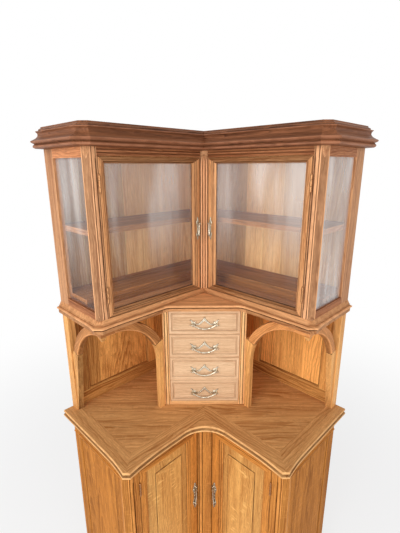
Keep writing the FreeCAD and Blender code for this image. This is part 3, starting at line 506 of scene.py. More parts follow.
def turned_arc(centre: Pair, radius: float, angles: Pair, steps: int) -> list[tuple[Pair, Pair]]:
    """Points and outward normals of a concave arc between two normal angles in degrees."""
    rows = []
    for degrees in divide(angles, steps):
        angle = math.radians(degrees)
        normal = (math.cos(angle), math.sin(angle))
        rows.append(((centre[0] - radius * normal[0], centre[1] - radius * normal[1]), normal))
    return rows


Colour = tuple[float, float, float]
Paint = tuple[int, int, int]
Socket = bpy.types.NodeSocket


class Wiring:
    """Short way to lay out the nodes of one tree."""

    def __init__(self, tree: bpy.types.NodeTree) -> None:
        """Keep the tree."""
        self.tree = tree

    def put(self, kind: str, **inputs: object) -> bpy.types.Node:
        """Add a node and feed its inputs.

        Args:
            kind: Node type.
            inputs: Values or sockets by input name, with _ for a blank.

        Returns:
            The node.
        """
        node = self.tree.nodes.new(kind)
        for name, value in inputs.items():
            self.feed(node.inputs[name.replace("_", " ")], value)
        return node

    def feed(self, target: Socket, value: object) -> None:
        """Link a socket or set a constant."""
        if isinstance(value, Socket):
            self.tree.links.new(value, target)
        else:
            target.default_value = value

    def calc(self, operation: str, a: object, b: object = 0.0, clamp: bool = False) -> Socket:
        """Math node on one or two values."""
        node = self.tree.nodes.new("ShaderNodeMath")
        node.operation = operation
        node.use_clamp = clamp
        self.feed(node.inputs[0], a)
        self.feed(node.inputs[1], b)
        return node.outputs[0]

    def times(self, a: object, b: object, clamp: bool = False) -> Socket:
        """Product of two values."""
        return self.calc("MULTIPLY", a, b, clamp)

    def plus(self, a: object, b: object, clamp: bool = False) -> Socket:
        """Sum of two values."""
        return self.calc("ADD", a, b, clamp)

    def less(self, a: object, b: object) -> Socket:
        """Difference of two values."""
        return self.calc("SUBTRACT", a, b)

    def noise(self, vector: Socket, scale: float, detail: float = 2.0, rough: float = 0.5) -> Socket:
        """Noise value at a vector."""
        node = self.put("ShaderNodeTexNoise", Vector=vector, Scale=scale, Detail=detail, Roughness=rough)
        return node.outputs["Fac"]

    def fibres(self, grain: Socket, along: float, across: float, detail: float = 2.0,
               rough: float = 0.5) -> Socket:
        """Noise drawn out by its own scales along and across the grain."""
        return self.noise(self.stretch(grain, (along, across, across)), 1.0, detail, rough)

    def stretch(self, vector: Socket, scale: Colour) -> Socket:
        """Vector multiplied per axis."""
        node = self.tree.nodes.new("ShaderNodeVectorMath")
        node.operation = "MULTIPLY"
        self.feed(node.inputs[0], vector)
        node.inputs[1].default_value = scale
        return node.outputs[0]

    def ease(self, value: Socket, low: float, high: float) -> Socket:
        """Smooth step from 0 at low to 1 at high."""
        node = self.tree.nodes.new("ShaderNodeMapRange")
        node.interpolation_type = "SMOOTHSTEP"
        self.feed(node.inputs["Value"], value)
        node.inputs["From Min"].default_value = low
        node.inputs["From Max"].default_value = high
        return node.outputs["Result"]

    def blend(self, share: object, a: object, b: object) -> Socket:
        """Mix of two colours."""
        node = self.tree.nodes.new("ShaderNodeMix")
        node.data_type = "RGBA"
        self.feed(node.inputs["Factor"], share)
        self.feed(node.inputs[6], a)
        self.feed(node.inputs[7], b)
        return node.outputs[2]

    def attribute(self, name: str, vector: bool = False) -> Socket:
        """Value of a mesh attribute."""
        node = self.tree.nodes.new("ShaderNodeAttribute")
        node.attribute_name = name
        return node.outputs["Vector" if vector else "Fac"]


def srgb(red: int, green: int, blue: int) -> Colour:
    """Linear colour of a picture colour from 0 to 255."""
    shares = (red / 255.0, green / 255.0, blue / 255.0)
    return tuple(c / 12.92 if c <= 0.04045 else ((c + 0.055) / 1.055) ** 2.4 for c in shares)


def rgba(colour: Colour) -> tuple[float, float, float, float]:
    """Colour with full alpha."""
    return (*colour, 1.0)


def new_material(name: str) -> tuple[bpy.types.Material, bpy.types.Node, Wiring]:
    """Make a material.

    Args:
        name: Material name.

    Returns:
        The material, its Principled node and its wiring.
    """
    material = bpy.data.materials.new(name)
    material.use_nodes = True
    tree = material.node_tree
    return material, tree.nodes["Principled BSDF"], Wiring(tree)


def start_group(name: str, ins: Sequence[tuple[str, str]],
                outs: Sequence[str]) -> tuple[Wiring, dict[str, bpy.types.Node]]:
    """Make an empty node group.

    Args:
        name: Group name.
        ins: Input names and socket types.
        outs: Names of float outputs.

    Returns:
        The wiring and its group input and output nodes.
    """
    tree = bpy.data.node_groups.new(name, "ShaderNodeTree")
    for label, kind in ins:
        tree.interface.new_socket(label, in_out="INPUT", socket_type=kind)
    for label in outs:
        tree.interface.new_socket(label, in_out="OUTPUT", socket_type="NodeSocketFloat")
    ends = {"in": tree.nodes.new("NodeGroupInput"), "out": tree.nodes.new("NodeGroupOutput")}
    return Wiring(tree), ends


class FigureGroup:
    """Growth rings, streaks, pores and rays of oak along a board's own grain coordinates."""

    def __init__(self) -> None:
        """Build the group once."""
        ins = (("Grain", "NodeSocketVector"), ("Rings", "NodeSocketFloat"), ("Rays", "NodeSocketFloat"))
        w, ends = start_group("oak_figure", ins, ("Figure", "Pores", "Rays", "Height"))
        grain = ends["in"].outputs["Grain"]
        ring = self.rings(w, grain, ends["in"].outputs["Rings"])
        late = w.times(w.ease(ring, 0.15, 0.85), w.less(1.0, w.ease(ring, 0.90, 1.0)))
        fade = w.ease(w.fibres(grain, 1.4, 18.0), 0.32, 0.66)
        late = w.times(late, w.plus(w.times(fade, 0.75), 0.25))
        fibre = w.fibres(grain, 9.0, 520.0, 3.0, 0.65)
        streak = w.ease(w.fibres(grain, 1.3, 52.0, 4.0, 0.62), 0.30, 0.70)
        figure = w.plus(w.times(late, 0.55), w.times(streak, 0.50))
        figure = w.plus(figure, w.times(w.less(fibre, 0.52), 0.85))
        early = w.less(1.0, w.ease(ring, 0.15, 0.55))
        pore = w.ease(w.fibres(grain, 30.0, 1100.0, 2.0), 0.52, 0.66)
        pores = w.times(pore, w.plus(w.times(early, 0.7), 0.3))
        dash = w.ease(w.fibres(grain, 17.0, 240.0, 2.0), 0.54, 0.68)
        dash = w.times(dash, w.plus(w.times(early, 0.5), 0.3))
        pores = w.calc("MAXIMUM", pores, dash)
        ripple = w.ease(w.fibres(grain, 110.0, 24.0, 2.0), 0.55, 0.68)
        patch = w.ease(w.fibres(grain, 5.0, 14.0, 1.0), 0.46, 0.62)
        rays = w.times(w.times(ripple, patch), ends["in"].outputs["Rays"])
        w.feed(ends["out"].inputs["Figure"], w.plus(figure, 0.0, True))
        w.feed(ends["out"].inputs["Pores"], pores)
        w.feed(ends["out"].inputs["Rays"], rays)
        w.feed(ends["out"].inputs["Height"], w.less(w.times(fibre, 0.3), pores))
        self.tree = w.tree

    def rings(self, w: Wiring, grain: Socket, density: Socket) -> Socket:
        """Place within the growth ring, from 0 after one ring's end to 1 at the next.

        Args:
            w: Wiring of the group.
            grain: Grain coordinates.
            density: Rings per metre.

        Returns:
            The place.
        """
        sway = w.fibres(grain, 4.2, 9.0, 3.0)
        drift = w.fibres(grain, 1.0, 4.0, 1.0)
        split = w.put("ShaderNodeSeparateXYZ", Vector=grain)
        a = w.plus(split.outputs[1], w.times(w.less(sway, 0.5), 0.050))
        b = w.plus(split.outputs[2], w.times(w.less(drift, 0.5), 0.050))
        radius = w.calc("SQRT", w.plus(w.times(a, a), w.times(b, b)))
        uneven = w.fibres(grain, 0.8, 40.0, 2.0)
        turns = w.plus(w.times(radius, density), w.times(uneven, 2.2))
        return w.calc("FRACT", turns)


class AgeAndLightGroup:
    """Rubbed arrises with painted highlights and dirt with painted shade in the quirks, broken up so that
    neither is even.
    """

    def __init__(self) -> None:
        """Build the group once."""
        ins = (("Wear", "NodeSocketFloat"), ("Grime", "NodeSocketFloat"), ("Scale", "NodeSocketFloat"))
        w, ends = start_group("age", ins, ("Rubbed and Highlight", "Dirt and Shade"))
        place = w.put("ShaderNodeTexCoord").outputs["Object"]
        node = w.put("ShaderNodeTexNoise", Vector=place, Scale=ends["in"].outputs["Scale"], Detail=3.0)
        patch = w.plus(w.times(w.ease(node.outputs["Fac"], 0.35, 0.65), 0.6), 0.4)
        w.feed(ends["out"].inputs["Rubbed and Highlight"], w.times(ends["in"].outputs["Wear"], patch))
        spread = w.plus(w.times(patch, 0.5), 0.5)
        w.feed(ends["out"].inputs["Dirt and Shade"], w.times(ends["in"].outputs["Grime"], spread))
        self.tree = w.tree


@dataclass(frozen=True)
class OakFinish:
    """Stained and varnished oak."""

    name: str
    light: Paint
    dark: Paint
    pore: Paint
    rings: float = 135.0
    rays: float = 0.0
    roughness: float = 0.46
    coat: float = 0.04
    coat_roughness: float = 0.22
    specular: float = 0.07
    patches: float = 22.0
    tone_figure: float = -0.14
    tone_value: float = 0.20
    pore_share: float = 0.50
    ray_share: float = 0.60
    rub_and_highlight_share: float = 0.60
    dirt_and_shade_share: float = 0.97
    dirt_and_shade_colour: float = 0.17
    relief: Pair = (0.25, 0.0004)

    def build(self, figure: FigureGroup, age: AgeAndLightGroup) -> bpy.types.Material:
        """Make the material.

        Args:
            figure: Oak figure group.
            age: Group of wear and dirt with painted highlights and shade.

        Returns:
            The material.
        """
        light, dark, pore = (srgb(*paint) for paint in (self.light, self.dark, self.pore))
        material, shader, w = new_material(self.name)
        grain = w.attribute("grain", True)
        oak = w.put("ShaderNodeGroup")
        oak.node_tree = figure.tree
        w.feed(oak.inputs["Grain"], grain)
        w.feed(oak.inputs["Rings"], self.rings)
        w.feed(oak.inputs["Rays"], self.rays)
        aged_and_lit = w.put("ShaderNodeGroup")
        aged_and_lit.node_tree = age.tree
        w.feed(aged_and_lit.inputs["Wear"], w.attribute("wear"))
        w.feed(aged_and_lit.inputs["Grime"], w.attribute("grime"))
        w.feed(aged_and_lit.inputs["Scale"], self.patches)
        own = w.times(w.attribute("tone"), self.tone_figure)
        colour = w.blend(w.plus(oak.outputs["Figure"], own, True), rgba(light), rgba(dark))
        colour = w.blend(w.times(oak.outputs["Pores"], self.pore_share), colour, rgba(pore))
        pale = tuple(min(1.0, c * 1.25 + 0.03) for c in light)
        colour = w.blend(w.times(oak.outputs["Rays"], self.ray_share), colour, rgba(pale))
        tone = w.plus(w.times(w.attribute("tone"), self.tone_value), 1.0)
        toned = w.put("ShaderNodeHueSaturation", Value=tone, Color=colour).outputs[0]
        # Painted highlights with rubbed wear lighten the arrises; painted shade with dirt darkens quirks,
        # soffits and faces marked as shaded.
        toned = w.blend(w.times(aged_and_lit.outputs["Rubbed and Highlight"], self.rub_and_highlight_share), toned, rgba(pale))
        dirt_and_shade = tuple(c * self.dirt_and_shade_colour for c in dark)
        toned = w.blend(w.times(aged_and_lit.outputs["Dirt and Shade"], self.dirt_and_shade_share, True), toned, rgba(dirt_and_shade))
        w.feed(shader.inputs["Base Color"], toned)
        sheen = w.plus(w.times(oak.outputs["Figure"], 0.10), self.roughness - 0.05)
        rough = w.plus(sheen, w.times(aged_and_lit.outputs["Dirt and Shade"], 0.25))
        w.feed(shader.inputs["Roughness"], rough)
        shader.inputs["Coat Weight"].default_value = self.coat
        shader.inputs["Specular IOR Level"].default_value = self.specular
        shader.inputs["Coat Roughness"].default_value = self.coat_roughness
        bump = w.put("ShaderNodeBump", Height=oak.outputs["Height"], Strength=self.relief[0],
                     Distance=self.relief[1])
        w.feed(shader.inputs["Normal"], bump.outputs[0])
        return material


@dataclass(frozen=True)
class BrassFinish:
    """Antiqued brass: dull in the recesses, where patina sits, and under the bails, where shade is painted;
    bright where fingers rub.
    """

    name: str = "antique_brass"
    bright: Colour = (0.74, 0.66, 0.52)
    dull: Colour = (0.10, 0.07, 0.04)

    def build(self) -> bpy.types.Material:
        """Make the material."""
        material, shader, w = new_material(self.name)
        place = w.put("ShaderNodeTexCoord").outputs["Object"]
        spots = w.ease(w.noise(place, 260.0, 3.0, 0.6), 0.40, 0.66)
        # Tarnish spots plus the grime marks: patina in the hollows and painted shade under the bails.
        dirt_and_shade = w.plus(w.times(spots, 0.5), w.attribute("grime"), True)
        w.feed(shader.inputs["Base Color"], w.blend(dirt_and_shade, rgba(self.bright), rgba(self.dull)))
        w.feed(shader.inputs["Roughness"], w.plus(w.times(dirt_and_shade, 0.30), 0.24))
        shader.inputs["Metallic"].default_value = 1.0
        bump = w.put("ShaderNodeBump", Height=w.noise(place, 900.0), Strength=0.15, Distance=0.0002)
        w.feed(shader.inputs["Normal"], bump.outputs[0])
        return material


@dataclass(frozen=True)
class GlassFinish:
    """Clear pane with a painted pale reflection: more opaque and white at flat angles, towards the top and
    in upright streaks.
    """

    name: str = "pane_glass"
    tint: Colour = (1.0, 0.98, 0.95)
    body: float = 0.004
    low: float = 0.02
    high: float = 0.95
    veil: float = 1.0
    index: float = 1.5
    rise: Pair = (1.38, 1.84)

    def build(self) -> bpy.types.Material:
        """Make the material."""
        material, shader, w = new_material(self.name)
        place = w.put("ShaderNodeTexCoord").outputs["Object"]
        # Painted reflection of bright surroundings: a white veil that grows with height and in streaks.
        streak = w.ease(w.noise(w.stretch(place, (11.0, 11.0, 1.6)), 1.0, 3.0), 0.40, 0.72)
        high = w.ease(w.put("ShaderNodeSeparateXYZ", Vector=place).outputs[2], *self.rise)
        painted_reflection = w.times(w.plus(w.times(high, self.high - self.low), self.low),
                       w.plus(w.times(streak, 0.22 * self.veil), 0.09 * self.veil))
        facing = w.put("ShaderNodeFresnel", IOR=self.index).outputs[0]
        front = w.less(1.0, w.put("ShaderNodeNewGeometry").outputs["Backfacing"])
        gloss = w.times(w.times(facing, front), 0.45)
        alpha = w.plus(w.plus(gloss, self.body), painted_reflection, True)
        w.feed(shader.inputs["Alpha"], alpha)
        shader.inputs["Base Color"].default_value = rgba(self.tint)
        shader.inputs["Roughness"].default_value = 0.04
        shader.inputs["IOR"].default_value = self.index
        return material


class Shop:
    """All finishes of the cabinet, built once."""

    def __init__(self) -> None:
        """Build groups and materials."""
        figure, age = FigureGroup(), AgeAndLightGroup()
        finishes = (
            OakFinish("oak_base", (204, 132, 56), (130, 74, 26), (78, 38, 12), rings=120.0,
                      rays=0.4, roughness=0.6, coat=0.0),
            OakFinish("oak_frame", (222, 150, 72), (148, 86, 34), (90, 48, 18), rings=150.0, rays=0.3),
            OakFinish("oak_panel", (238, 182, 106), (170, 106, 48), (112, 64, 26), rings=150.0, rays=1.0),
            OakFinish("oak_counter", (226, 172, 110), (166, 108, 58), (100, 58, 28), rings=105.0,
                      rays=0.15),
            OakFinish("oak_block", (246, 190, 130), (190, 128, 76), (116, 72, 42), rings=140.0),
            OakFinish("oak_drawer", (226, 190, 152), (190, 148, 110), (144, 102, 68), rings=120.0),
            OakFinish("oak_case", (230, 168, 114), (148, 90, 50), (86, 48, 24)),
            OakFinish("oak_post", (226, 168, 120), (154, 100, 66), (86, 50, 30)),
            OakFinish("oak_arch", (232, 172, 104), (158, 102, 54), (84, 46, 20)),
            OakFinish("oak_bow", (220, 152, 92), (150, 92, 48), (88, 50, 24)),
            OakFinish("oak_cornice", (152, 98, 66), (84, 50, 33), (46, 27, 18), rings=140.0),
            OakFinish("oak_rail", (224, 152, 102), (142, 80, 46), (84, 44, 24)),
            OakFinish("oak_inner", (252, 184, 104), (168, 102, 48), (98, 54, 24), rings=85.0,
                      roughness=0.5, coat=0.02),
            # Lighter copy of the inner oak for the back boards behind the glass: painted light in the case.
            OakFinish("oak_inside_painted_light", (255, 210, 146), (208, 142, 80), (140, 88, 46), rings=100.0,
                      roughness=0.5, coat=0.02),
            OakFinish("oak_shelf", (186, 122, 66), (112, 72, 36), (50, 30, 16), rings=100.0,
                      roughness=0.48, coat=0.02), )
        self.oak = {finish.name: finish.build(figure, age) for finish in finishes}
        self.brass = BrassFinish().build()
        self.bronze = BrassFinish("hinge_bronze", srgb(180, 132, 90), srgb(116, 80, 52)).build()
        self.glass = GlassFinish().build()
        # The right side pane carries a stronger painted reflection.
        self.glass_with_painted_reflection = GlassFinish("glass_with_painted_reflection", low=0.75, veil=2.0).build()


@dataclass(frozen=True)
class Levels:
    """Heights above the floor in millimetres."""

    plinth: float = 70.0
    base: float = 88.0
    frieze: float = 749.0
    counter: float = 844.0
    top: float = 870.0
    case_base: float = 1290.0
    case_floor: float = 1315.0
    case: float = 1333.0
    cornice: float = 1879.0


LEVEL = Levels()
# Outer side and front of the carcasses in wing coordinates
BASE_U, BASE_W = 774.0, 365.0
CASE_U, CASE_W = 770.0, 277.0
# Edges of the door openings along the wall, at the centre post and at the corner post
BASE_OPENING = (405.0, 711.0)
CASE_OPENING = (296.0, 731.0)
BOARD = 20.0
GAP = 2.0
CASE_FRIEZE = 25.0


@dataclass(frozen=True)
class DoorSize:
    """Leaf outline, member widths and sticking of a door."""

    us: Pair
    zs: Pair
    front: float
    stiles: Pair
    rails: Pair
    sticking: Profile
    tones: Shades = (0, 0.3, 0, 0.3)
    hinge_inset: float = 80.0

    def outer(self) -> list[Pair]:
        """Outline of the leaf."""
        return rect(*self.us, *self.zs)

    def opening(self) -> list[Pair]:
        """Rectangle inside the members."""
        return rect(self.us[0] + self.stiles[0], self.us[1] - self.stiles[1],
                    self.zs[0] + self.rails[0], self.zs[1] - self.rails[1])

    def hinges(self) -> Pair:
        """Middle heights of the hinges."""
        return (self.zs[0] + self.hinge_inset, self.zs[1] - self.hinge_inset)


BASE_DOOR = DoorSize(
    us=(BASE_OPENING[0] + GAP, BASE_OPENING[1] - GAP), zs=(LEVEL.base + GAP, LEVEL.frieze - 3.0),
    front=BASE_W, stiles=(61.0, 37.0), rails=(36.0, 28.0),
    sticking=((0.0, 0.0), (0.72, 0.0), (0.74, 1.2), (0.80, 2.0), (0.86, 1.9), (0.90, 3.0),
              (0.95, 5.2), (1.0, 7.0)))
# The case doors' rails are darker than their stiles, the top rail most: partly stain, partly painted shade
# under the cornice.
CASE_DOOR = DoorSize(
    us=(CASE_OPENING[0] + GAP, CASE_OPENING[1] - GAP),
    zs=(LEVEL.case + GAP, LEVEL.cornice - CASE_FRIEZE - GAP),
    front=CASE_W, stiles=(35.0, 26.0), rails=(21.0, 20.0),
    sticking=((0.0, 0.0), (0.48, 0.0), (0.51, 1.2), (0.58, 1.8), (0.66, 1.7), (0.76, 3.2),
              (0.88, 6.6), (1.0, 9.0)), tones=(-1.4, 0.2, -2.2, 0.2))


@dataclass
class Piece(Carpenter):
    """Sub-assembly with boards and finishes at hand."""

    shop: Shop

    def oak(self, work: Joinery, slot: str, *nodes: str, body: str = "carcass", look: str = "") -> None:
        """Finish a wooden object in place of its nodes, with the slot's own finish or another."""
        work.finish(body, nodes, slot, self.shop.oak[look or slot])

    def post(self, work: Joinery, put: Placing, plans: tuple[list[Pair], list[Pair]], zs: Pair,
             timber: Timber, stop: float = 26.0, facet: float = 0.0) -> None:
        """Upright post whose beads run out before both ends.

        Args:
            work: Object.
            put: Placing function of (across, depth, height).
            plans: Plan points with beads and the same points without.
            zs: Low and high end.
            timber: Grain frame.
            stop: Plain length at both ends.
            facet: Painted shade of the cut corner.
        """
        (z0, z1), run_out = zs, stop + 9.0
        beaded, flat = plans
        levels = ((z0, flat), (z0 + stop, flat), (z0 + run_out, beaded),
                  (z1 - stop - 9.0, beaded), (z1 - stop, flat), (z1, flat))
        lines = groove_shades(beaded, flat)
        # Painted highlights on the narrow arrises, painted shade on the facet between them.
        if facet:
            lines[-5:] = [-1.0, facet, -1.0, 0.0, 0.0]
        rings = [[put(a, d, z) for a, d in points] for z, points in levels]
        work.add(rings, timber, 0.0, lines=lines)


def groove_shades(beaded: Outline, flat: Outline) -> list[float]:
    """Painted shade with grime on the groove floors of a beaded plan, painted highlights with wear on its
    beads.
    """
    depth = [abs(a[1] - b[1]) for a, b in zip(beaded, flat)]
    even, floor = 0.01, max(depth) - 0.1
    shades = []
    for i, here in enumerate(depth):
        after = depth[(i + 1) % len(depth)]
        if here < even and after < even:
            shades.append(0.0)
        else:
            shades.append(0.9 if max(here, after) > floor else -0.8)
    return shades


def cut_corner(u: float, w: float, back: float) -> tuple[Pair, ...]:
    """Plan of a cut corner with narrow arrises on both sides of the facet."""
    leg, eased, lip = POST_LEG, 0.8, 1.6
    return ((u - leg - lip, w), (u - leg + eased, w - eased), (u - eased, w - leg + eased),
            (u, w - leg - lip), (u, back))


def beaded_plan(head: Outline, bead: Pair, plane: float, tail: Outline) -> tuple[list[Pair], list[Pair]]:
    """Plan of a beaded face and the same plan with a flat face.

    Args:
        head: Points before the face.
        bead: Middle and radius of the bead.
        plane: Depth of the face.
        tail: Points after the face.

    Returns:
        Both plans, point by point.
    """
    face = beaded_face(*bead, plane)
    flat = [(a, plane) for a, _ in face]
    return (list(head) + face + list(tail), list(head) + flat + list(tail))


def in_block(u: float, w: float) -> Pair:
    """Place of a wing point in the coordinates of the frontal block."""
    return ((u - w) / ROOT2, (u + w) / ROOT2)


@dataclass
class Cupboard(Piece):
    """Lower carcass: plinth, bottom, sides, posts, frieze and back boards."""

    plinth: Profile = ((0, 6), (60, 6), (62, 5.6), (65, 3.6), (68, 1), (70, 0))
    nose: Profile = ((0, 0), (1, 2.2), (3, 3.4), (5, 4), (13, 4), (15, 3.4), (17, 2.2), (18, 0))
    astragal: Profile = ((0, 0.6), (1.2, 2.4), (3, 3), (4.8, 2.4), (6, 0.6))
    post_depth: float = 28.0
    corner_bead: Pair = (31.0, 6.0)
    centre_bead: Pair = (-16.5, 5.5)
    side_stiles: tuple[float, float, float] = (14.0, 46.0, 34.0)
    side_rails: Pair = (70.0, 4.0)
    side_boards: int = 3
    side_sunk: float = 3.0
    side_bead: Profile = ((0, 10), (0, 0.4), (0.3, 0), (0.55, 0.8), (0.8, 2.2), (1, 2.6), (1, 10))
    side_bead_width: float = 8.0
    back_thick: float = 8.0
    back_count: int = 8
    plain_share: float = 0.4
    # Painted shade: the left case's back boards darken towards the outer end, from this share of the row
    # on.
    painted_dusk: float = -2.7
    painted_dusk_start: float = 0.4

    def build(self) -> None:
        """Make all fixed pieces of the base."""
        self.build_foot()
        self.build_sides()
        self.build_posts()
        self.build_frieze()

    def build_foot(self) -> None:
        """Plinth and bottom board."""
        path = facet_corner(BASE_U, BASE_W)
        work = Joinery("plinth_look")
        for side in Side:
            self.bands(work, side, path, BOARD, self.plinth, tone=-0.4)
        self.oak(work, "oak_base", "plinth")
        work = Joinery("base_bottom_look")
        for side in Side:
            board = self.mill.cut(PLAN.along(side), UP)
            self.slab(work, side, path, raised(self.nose, LEVEL.plinth), board)
        self.oak(work, "oak_base", "base_bottom")

    def build_sides(self) -> None:
        """Side boards and back boards."""
        work = Joinery("base_sides_look")
        for side in Side:
            self.build_side(work, side)
        self.oak(work, "oak_base", "base_sides")
        work = Joinery("back_boards_look")
        for side in Side:
            self.planks(work, side, BASE_U - BOARD, (LEVEL.base, LEVEL.counter), 0.0)
            # Painted shade only on the left case's row.
            painted_dusk = self.painted_dusk if side is Side.LEFT else 0.0
            self.planks(work, side, CASE_U - BOARD, (LEVEL.case, LEVEL.cornice), painted_dusk)
        self.oak(work, "oak_inner", "back_boards", look="oak_inside_painted_light")

    def planks(self, work: Joinery, side: Side, end: float, zs: Pair, painted_dusk: float) -> None:
        """Row of upright back boards along a wall; the left row stops behind the right one.

        Args:
            work: Object.
            side: Wing.
            end: Outer end along the wall.
            zs: Low and high.
            painted_dusk: Painted shade, the tone that the boards reach towards the outer end.
        """
        start = 0.0 if side is Side.RIGHT else self.back_thick
        cuts = divide((start, end), self.back_count)
        for a, b in zip(cuts, cuts[1:]):
            how = Cut.PLAIN if self.mill.dice.random() < self.plain_share else Cut.RIFT
            share = (a - start) / (end - start)
            tone = painted_dusk * max(0.0, share - self.painted_dusk_start) / (1.0 - self.painted_dusk_start)
            tone += self.mill.dice.uniform(-1.1, 0.6)
            board = self.mill.cut(UP, PLAN.out(side), how, tone)
            self.wing_box(work, side, (a, b), (0.0, self.back_thick), zs, board)

    def build_side(self, work: Joinery, side: Side) -> None:
        """Framed side: stiles, rails, sunk boards and a moulding around them."""
        span, front = (BASE_U - BOARD, BASE_U), BASE_W - self.post_depth
        strip, near, far = self.side_stiles
        low, high = self.side_rails
        hole = rect(near, front - far, LEVEL.base + low, LEVEL.frieze - high)
        for ws, bevel in (((0.0, strip), 1.6), ((strip, near), 1.0), ((front - far, front), 0.6)):
            stile = self.mill.cut(UP, PLAN.along(side))
            self.wing_box(work, side, span, ws, (LEVEL.base, LEVEL.counter), stile, bevel)
        (w0, z0), (w1, _), (_, z1), _ = hole
        for zs in ((LEVEL.base, z0), (z1, LEVEL.counter)):
            rail = self.mill.cut(PLAN.out(side), PLAN.along(side))
            self.wing_box(work, side, span, (w0, w1), zs, rail, 0.6)
        cuts, sunk = divide((w0, w1), self.side_boards), (span[0], BASE_U - self.side_sunk)
        for ws in zip(cuts, cuts[1:]):
            board = self.mill.cut(UP, PLAN.along(side), Cut.PLAIN)
            self.wing_box(work, side, sunk, ws, (z0, z1), board, 0.3)
        # Painted shade in the quirks of the bead around the sunk boards, painted highlight on its round.
        bead = [(share, BASE_U - fall) for share, fall in self.side_bead]
        boards = [self.mill.cut(run, PLAN.along(side)) for run in (PLAN.out(side), UP) * 2]
        self.frame(work, partial(PLAN.end_vec, side), hole, inset(hole, self.side_bead_width),
                   bead, boards, (0.8, 0.7, -0.6, 0.2, 0.9, 0.9))

    def build_posts(self) -> None:
        """Corner posts and the centre post."""
        back, (v_edge, edge) = BASE_W - self.post_depth, BASE_OPENING
        plans = beaded_plan(((edge, back), (edge, BASE_W)),
                            (BASE_U - self.corner_bead[0], self.corner_bead[1]), BASE_W,
                            cut_corner(BASE_U, BASE_W, back))
        work = Joinery("base_corner_posts_look")
        for side in Side:
            board = self.mill.cut(UP, PLAN.out(side))
            self.post(work, partial(PLAN.vec, side), plans, (LEVEL.base, LEVEL.frieze), board, 30.0, 0.3)
        self.oak(work, "oak_base", "base_corner_posts", look="oak_frame")
        half, face_d = in_block(v_edge, BASE_W)
        wing_x, wing_d = in_block(v_edge, back)
        head = ((0.0, back * ROOT2), (-wing_x, wing_d), (-half, face_d))
        plans = beaded_plan(head, self.centre_bead, face_d, ((half, face_d), (wing_x, wing_d)))
        work = Joinery("base_centre_post_look")
        board = self.mill.cut(UP, FRONT)
        self.post(work, PLAN.mid, plans, (LEVEL.base, LEVEL.counter), board, 22.0)
        self.oak(work, "oak_base", "base_centre_post", look="oak_frame")

    def build_frieze(self) -> None:
        """Frieze boards with the astragal."""
        back, inner = BASE_W - self.post_depth, BASE_OPENING[0]
        plan = ((inner, back), (BASE_U, back), (BASE_U, BASE_W - POST_LEG),
                (BASE_U - POST_LEG, BASE_W), (inner, BASE_W))
        work = Joinery("base_frieze_look")
        rows = raised(smooth_profile(self.astragal, 2), LEVEL.frieze)
        path = facet_corner(BASE_U, BASE_W, inner)
        for side in Side:
            board = self.mill.cut(PLAN.along(side), PLAN.out(side))
            self.prism(work, side, plan, (LEVEL.frieze, LEVEL.counter), board, 0.4)
            # Painted shade on the lower rows of the astragal.
            self.bands(work, side, path, 0.0, rows, (0.8, 0.2), tone=-0.2)
        self.oak(work, "oak_base", "base_frieze", look="oak_frame")


@dataclass
class Door(Piece):
    """Hinged leaf with a mitred frame and brassware."""

    side: Side
    size: DoorSize
    body: str
    thick: float = 20.0
    arris: float = 1.6
    # Painted shade in the rebate at the outer edge and in the quirks of the sticking, painted highlights on
    # its bead.
    frame_shades: Shades = (0.7, 0.8, 0.3, 0, 0.9, 0.3, -0.6, 0.8, 0.2, -0.3, 0.8)
    field_margins: tuple[float, float, float] = (33.0, 44.0, 43.0)
    panel_edge: Pair = (16.0, 10.0)
    panel_bevel: Profile = ((-6, 6), (-4, 5.9), (-2.4, 5.4), (-1.6, 3.6), (-0.8, 3.1), (0, 3))
    # Painted shade at the foot of the panel's bevel, painted highlight on the edge of the field.
    panel_shades: Shades = (0, 0.1, 0.8, 0.9, 0.5, -0.6)
    pane: Pair = (17.0, 13.0)

    def ring(self, points: Outline, depth: float) -> list[Vector]:
        """Upright outline of the leaf at a depth behind its front."""
        return [PLAN.vec(self.side, u, self.size.front - depth, z) for u, z in points]

    def build_frame(self, slot: str) -> None:
        """Mitred stiles and rails."""
        size, face = self.size, PLAN.out(self.side)
        back, eased = size.front - self.thick, size.front - self.arris
        profile = [(0.0, back), (0.0, eased), (0.08, eased)]
        profile += [(max(share, 0.10), size.front - depth) for share, depth in size.sticking]
        profile.append((1.0, back))
        boards = [self.mill.cut(run, face, tone=tone, even=True)
                  for run, tone in zip((PLAN.along(self.side), UP) * 2, size.tones)]
        work = Joinery(self.body + "_frame_look")
        self.frame(work, partial(PLAN.vec, self.side), size.outer(), size.opening(), profile,
                   boards, self.frame_shades)
        look = "oak_frame" if slot == "oak_base" else slot
        self.oak(work, slot, self.body + "_frame", body=self.body, look=look)

    def build_panel(self) -> None:
        """Raised panel with a wide bevel."""
        hole = self.size.opening()
        (a0, z0), (a1, _), (_, z1), _ = hole
        near, far, ends = self.field_margins
        middle = rect(a0 + near, a1 - far, z0 + ends, z1 - ends)
        rings = [self.ring(hole, depth) for depth in self.panel_edge]
        rings += [self.ring(inset(middle, by), depth) for by, depth in self.panel_bevel]
        work = Joinery(self.body + "_panel_look")
        board = self.mill.cut(UP, PLAN.out(self.side), tone=-0.1, even=True)
        work.add(rings, board, 0.0, self.panel_shades)
        self.oak(work, "oak_base", self.body + "_panel", body=self.body, look="oak_panel")

    def build_glass(self) -> None:
        """Pane of the leaf."""
        rings = [self.ring(self.size.opening(), depth) for depth in self.pane]
        work = Joinery(self.body + "_glass_look")
        work.add(rings, self.mill.cut(UP, PLAN.out(self.side)), 0.0)
        work.finish(self.body, (self.body + "_glass",), "glass", self.shop.glass)


